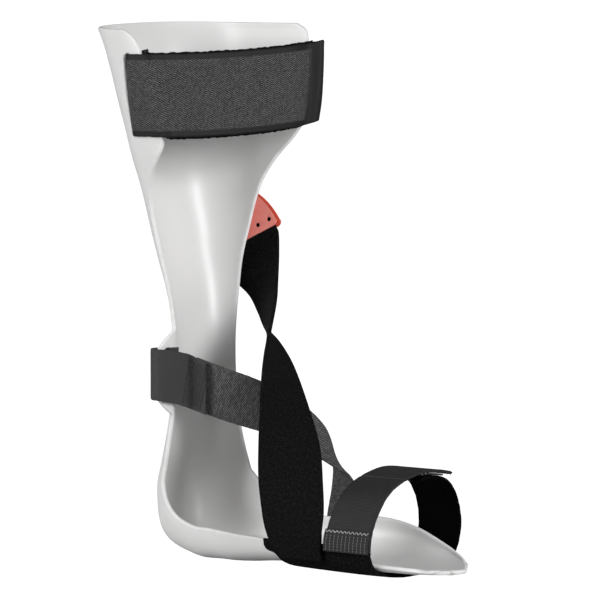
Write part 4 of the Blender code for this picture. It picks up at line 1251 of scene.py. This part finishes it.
def ribbed_group():
    """Fine weft ribs straight across the band, crossed by the warp."""
    inputs = (("Cloth", "Vector", None), ("Weft", "Float", 0.00062), ("Warp", "Float", 0.0009))
    tree, given, wanted = new_group("weft ribs", inputs, ("Rib", "Fleck", "Height"))
    wobble = noise(tree, given["Cloth"], 240.0, 2.0)
    place = put(tree, "ShaderNodeSeparateXYZ", Vector=given["Cloth"]).outputs
    slow = times(tree, minus(tree, wobble, 0.5), 0.0006)
    weft = calc(tree, "FRACT", calc(tree, "DIVIDE", plus(tree, place["X"], slow), given["Weft"]))
    warp = calc(tree, "FRACT", calc(tree, "DIVIDE", plus(tree, place["Y"], slow), given["Warp"]))
    rib = calc(tree, "SINE", times(tree, weft, math.pi))
    end = calc(tree, "SINE", times(tree, warp, math.pi))
    fine = noise(tree, given["Cloth"], 1500.0, 2.0, 0.6)
    fleck = spread(tree, fine, 0.45, 0.75)
    tree.links.new(times(tree, rib, plus(tree, 0.6, times(tree, end, 0.4))), wanted["Rib"])
    tree.links.new(fleck, wanted["Fleck"])
    tree.links.new(plus(tree, times(tree, rib, 0.7), times(tree, end, 0.3)), wanted["Height"])
    return tree


def loop_group():
    """Small loops in slanting rows."""
    inputs = (("Cloth", "Vector", None), ("Pitch", "Float", 0.0011), ("Slant", "Float", 0.5))
    tree, given, wanted = new_group("loop dots", inputs, ("Dot", "Height"))
    turned_place = slant_cloth(tree, given)
    scale = calc(tree, "DIVIDE", 1.0, given["Pitch"])
    grow, flat = {"operation": "SCALE"}, {"voronoi_dimensions": "2D"}
    scaled = put(tree, "ShaderNodeVectorMath", grow, i0=turned_place, Scale=scale).outputs[0]
    spots = put(tree, "ShaderNodeTexVoronoi", flat, Vector=scaled, Scale=1.0, Randomness=0.35)
    spot = spread(tree, spots.outputs["Distance"], 0.5, 0.12)
    shade = put(tree, "ShaderNodeSeparateColor", Color=spots.outputs["Color"]).outputs[0]
    picked = times(tree, spot, calc(tree, "POWER", shade, 1.8))
    tree.links.new(picked, wanted["Dot"])
    tree.links.new(spot, wanted["Height"])
    return tree


def moulding_group():
    """Slow cloudiness and fine grain of a plastic moulding, and a broken mask along its edges where a lighter
    painted highlight goes.
    """
    inputs = (("Place", "Vector", None), ("Edge", "Float", 0.0), ("Fineness", "Float", 700.0))
    tree, given, wanted = new_group("moulding grain", inputs, ("Cloud", "Edge highlight", "Height"))
    cloud = noise(tree, given["Place"], 22.0, 3.0)
    scratch = noise(tree, given["Place"], given["Fineness"], 4.0, 0.6)
    broken = noise(tree, given["Place"], 160.0, 3.0)
    rough_edge = spread(tree, broken, 0.3, 0.65)
    tree.links.new(cloud, wanted["Cloud"])
    # The edge mask broken up by noise: the finishes paint a lighter highlight and rougher face there.
    tree.links.new(times(tree, given["Edge"], rough_edge), wanted["Edge highlight"])
    tree.links.new(plus(tree, scratch, times(tree, cloud, 0.6)), wanted["Height"])
    return tree


GROUPS = {}


def prepare_groups():
    makers = {
        "herringbone": herringbone_group,
        "pile": pile_group,
        "ribs": ribbed_group,
        "loops": loop_group,
        "moulding": moulding_group,
    }
    for label, maker in makers.items():
        GROUPS[label] = maker()


def place_group(tree, label, **values):
    made = tree.nodes.new("ShaderNodeGroup")
    made.node_tree = GROUPS[label]
    for key, value in values.items():
        socket = made.inputs[key.replace("_", " ")]
        feed(tree, socket, value)
    return made.outputs


def blank(name):
    material = bpy.data.materials.new(name)
    material.use_nodes = True
    return material, material.node_tree, material.node_tree.nodes["Principled BSDF"]


def dress(tree, shader, tint, rough, gloss=0.5):
    """The look of a material's face: its colour, roughness and specular level."""
    for label, value in (("Base Color", tint), ("Roughness", rough), ("Specular IOR Level", gloss)):
        feed(tree, shader.inputs[label], value)


def bump(tree, shader, height, distance, strength=1.0):
    made = put(tree, "ShaderNodeBump", Height=height, Distance=distance, Strength=strength)
    tree.links.new(made.outputs["Normal"], shader.inputs["Normal"])


def cloth_place(tree):
    return put(tree, "ShaderNodeAttribute", {"attribute_name": "cloth"}).outputs["Vector"]


def shell_finish():
    material, tree, shader = blank("white polypropylene")
    place = put(tree, "ShaderNodeTexCoord").outputs["Object"]
    edge = put(tree, "ShaderNodeAttribute", {"attribute_name": "edge"}).outputs["Fac"]
    out = place_group(tree, "moulding", Place=place, Edge=edge, Fineness=650.0)
    tint = blend_colours(tree, out["Cloud"], grey(0.74, 0.004), grey(0.80, 0.008))
    # Painted highlight: the rounded trim edges are painted lighter, standing in for the light line along
    # them.
    tint = blend_colours(tree, times(tree, out["Edge highlight"], 0.6), tint, grey(0.88, 0.006))
    rough = plus(tree, 0.30, times(tree, out["Cloud"], 0.10))
    rough = plus(tree, rough, times(tree, out["Edge highlight"], 0.12))
    dress(tree, shader, tint, rough)
    bump(tree, shader, out["Height"], 0.00002)
    return material


def herringbone_finish():
    material, tree, shader = blank("herringbone webbing")
    out = place_group(tree, "herringbone", Cloth=cloth_place(tree))
    tint = blend_colours(tree, out["Gap"], grey(0.010), grey(0.002))
    tint = blend_colours(tree, out["Thread"], tint, grey(0.19))
    dress(tree, shader, tint, plus(tree, 0.62, times(tree, out["Gap"], 0.2)), 0.22)
    bump(tree, shader, out["Height"], 0.00035)
    return material


def plush_finish():
    material, tree, shader = blank("black plush")
    out = place_group(tree, "pile", Cloth=cloth_place(tree))
    tint = blend_colours(tree, out["Clump"], grey(0.0015), grey(0.004))
    tint = blend_colours(tree, out["Fibre"], tint, grey(0.020))
    dress(tree, shader, tint, plus(tree, 0.8, times(tree, out["Clump"], 0.15)), 0.08)
    bump(tree, shader, out["Height"], 0.0006)
    return material


def ribbed_finish(name, base, light, weft, depth, rough, gloss=0.3):
    material, tree, shader = blank(name)
    out = place_group(tree, "ribs", Cloth=cloth_place(tree), Weft=weft)
    tint = blend_colours(tree, out["Rib"], grey(base * 0.45), grey(base))
    tint = blend_colours(tree, times(tree, out["Fleck"], 0.55), tint, grey(light))
    dress(tree, shader, tint, plus(tree, rough, times(tree, out["Rib"], 0.12)), gloss)
    bump(tree, shader, out["Height"], depth)
    return material


def loop_finish():
    material, tree, shader = blank("loop webbing")
    cloth = cloth_place(tree)
    values = {"Pitch": 2.0, "Slope": -1.5, "Row": 0.0019, "Plain_beyond": 0.0158}
    out = place_group(tree, "herringbone", Cloth=cloth, **values)
    fuzz = place_group(tree, "pile", Cloth=cloth, Fineness=1100.0)
    tint = blend_colours(tree, fuzz["Fibre"], grey(0.006), grey(0.014))
    tint = blend_colours(tree, out["Gap"], tint, grey(0.006))
    tint = blend_colours(tree, out["Thread"], tint, grey(0.24))
    dress(tree, shader, tint, plus(tree, 0.7, times(tree, out["Gap"], 0.15)), 0.2)
    bump(tree, shader, out["Height"], 0.0003)
    return material


def hook_finish():
    material, tree, shader = blank("hook tape")
    out = place_group(tree, "loops", Cloth=cloth_place(tree), Pitch=0.0014, Slant=0.0)
    tint = blend_colours(tree, out["Height"], grey(0.008), grey(0.035))
    dress(tree, shader, tint, plus(tree, 0.45, times(tree, out["Height"], 0.2)))
    bump(tree, shader, out["Height"], 0.0005)
    return material


# The low and high colours of each clip plate's moulding, and the lighter colour painted on its bevelled edges
# as a highlight.
SALMON = ((0.84, 0.24, 0.20, 1), (0.88, 0.27, 0.23, 1), (0.92, 0.38, 0.33, 1))
RED = ((0.68, 0.075, 0.040, 1), (0.74, 0.095, 0.055, 1), (0.80, 0.18, 0.13, 1))


def clip_finish(name, low, high, edge_highlight):
    material, tree, shader = blank(name)
    place = put(tree, "ShaderNodeTexCoord").outputs["Object"]
    bevelled = put(tree, "ShaderNodeNewGeometry").outputs["Pointiness"]
    edge = spread(tree, bevelled, 0.5, 0.62)
    out = place_group(tree, "moulding", Place=place, Edge=edge, Fineness=900.0)
    tint = blend_colours(tree, out["Cloud"], low, high)
    # Painted highlight: the bevelled edges are painted lighter, standing in for the light on the rounded
    # bevels.
    tint = blend_colours(tree, times(tree, out["Edge highlight"], 0.5), tint, edge_highlight)
    dress(tree, shader, tint, plus(tree, 0.38, times(tree, out["Cloud"], 0.12)))
    bump(tree, shader, out["Height"], 0.00003)
    return material


def thread_finish(name, low, high):
    material, tree, shader = blank(name)
    place = put(tree, "ShaderNodeTexCoord").outputs["Object"]
    twist = noise(tree, place, 1800.0, 2.0)
    tint = blend_colours(tree, twist, grey(low), grey(high))
    dress(tree, shader, tint, plus(tree, 0.5, times(tree, twist, 0.2)))
    bump(tree, shader, twist, 0.0001)
    return material


FINISHES = {}


def prepare_finishes():
    prepare_groups()
    FINISHES["shell"] = shell_finish()
    FINISHES["herringbone webbing"] = herringbone_finish()
    FINISHES["black plush"] = plush_finish()
    FINISHES["plain webbing"] = ribbed_finish("plain webbing", 0.052, 0.13, 0.0008, 0.0002, 0.62)
    FINISHES["satin webbing"] = ribbed_finish("satin webbing", 0.015, 0.055, 0.0011, 0.0002, 0.5)
    black = (0.001, 0.004, 0.0011, 0.0002, 0.75, 0.05)
    FINISHES["black satin webbing"] = ribbed_finish("black satin webbing", *black)
    FINISHES["loop webbing"] = loop_finish()
    FINISHES["hook tape"] = hook_finish()
    FINISHES["salmon clip"] = clip_finish("salmon clip", *SALMON)
    FINISHES["red clip"] = clip_finish("red clip", *RED)
    FINISHES["dark thread"] = thread_finish("dark thread", 0.012, 0.030)
    FINISHES["grey thread"] = thread_finish("grey thread", 0.09, 0.20)
    FINISHES["light thread"] = thread_finish("light thread", 0.25, 0.50)


def clad(piece, finish_name, slot, *nodes):
    """Gives a piece its finish, and hides the CAD nodes that it stands for."""
    piece.data.materials.clear()
    piece.data.materials.append(FINISHES[finish_name])
    if nodes:
        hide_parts(*nodes)


def finish(piece, body, finish_name, slot, *nodes):
    clad(piece, finish_name, slot, *nodes)
    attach(piece, body)


# ---------------------------------------------------------------- floor, light, camera


def make_floor():
    size = 40.0
    corners = [(-size, -size, 0), (size, -size, 0), (size, size, 0), (-size, size, 0)]
    floor = new_piece("studio_floor", [(x, y, -0.0006) for x, y, _ in corners], [(0, 1, 2, 3)])
    material, tree, shader = blank("pale floor")
    shader.inputs["Base Color"].default_value = (0.55, 0.55, 0.55, 1)
    shader.inputs["Roughness"].default_value = 0.9
    shader.inputs["Specular IOR Level"].default_value = 0.0
    glow = put(tree, "ShaderNodeEmission", Color=(1, 1, 1, 1), Strength=1.3)
    ray = put(tree, "ShaderNodeLightPath").outputs["Is Camera Ray"]
    share = times(tree, ray, 0.82)
    mix = put(tree, "ShaderNodeMixShader", i0=share, i1=shader.outputs[0], i2=glow.outputs[0])
    tree.links.new(mix.outputs[0], tree.nodes["Material Output"].inputs["Surface"])
    floor.data.materials.append(material)


def make_world():
    world = bpy.data.worlds.new("studio")
    bpy.context.scene.world = world
    world.use_nodes = True
    tree = world.node_tree
    tree.nodes.clear()
    seen = put(tree, "ShaderNodeBackground", Color=(1, 1, 1, 1), Strength=1.5)
    fill = put(tree, "ShaderNodeBackground", Color=(1, 1, 1, 1), Strength=0.15)
    ray = put(tree, "ShaderNodeLightPath").outputs["Is Camera Ray"]
    mix = put(tree, "ShaderNodeMixShader", i0=ray, i1=fill.outputs[0], i2=seen.outputs[0])
    out = tree.nodes.new("ShaderNodeOutputWorld")
    tree.links.new(mix.outputs[0], out.inputs[0])


def area_light(name, place, target, size, power):
    light = bpy.data.lights.new(name, "AREA")
    light.shape = "RECTANGLE"
    light.size, light.size_y = size
    light.energy = power
    lamp = bpy.data.objects.new(name, light)
    lamp.location = place
    lamp.rotation_euler = (Vector(target) - Vector(place)).to_track_quat("-Z", "Y").to_euler()
    bpy.context.scene.collection.objects.link(lamp)


def make_lights():
    middle = (0.02, 0.0, 0.17)
    area_light("key", (1.95, -0.4, 0.85), middle, (0.6, 1.0), 32)
    area_light("side", (-1.0, -1.7, 0.75), middle, (0.8, 1.2), 29)
    area_light("top", (0.1, 0.3, 1.9), middle, (1.2, 1.0), 0.8)
    area_light("rim", (1.3, 1.3, 0.8), middle, (0.7, 1.0), 2)


def make_camera():
    camera = bpy.data.cameras.new("view")
    camera.lens = 257.4
    camera.sensor_width = 36.0
    eye = Vector((1.86896, -2.31774, 0.39788))
    target = Vector((0.02694, 0.03994, 0.17817))
    viewer = bpy.data.objects.new("view", camera)
    viewer.location = eye
    viewer.rotation_euler = (target - eye).to_track_quat("-Z", "Y").to_euler()
    bpy.context.scene.collection.objects.link(viewer)
    bpy.context.scene.camera = viewer
    bpy.context.scene.view_settings.view_transform = "Standard"


# ---------------------------------------------------------------- the whole scene


def main():
    make_camera()
    make_world()
    make_lights()
    make_floor()
    prepare_finishes()
    shell = make_shell()
    clad(shell, "shell", "shell", "leg_shell", "foot_shell")
    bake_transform(shell)
    make_calf_strap()
    make_clip()
    make_lift_band()
    make_ankle_strap()
    make_sling()
    make_forefoot_strap()


main()
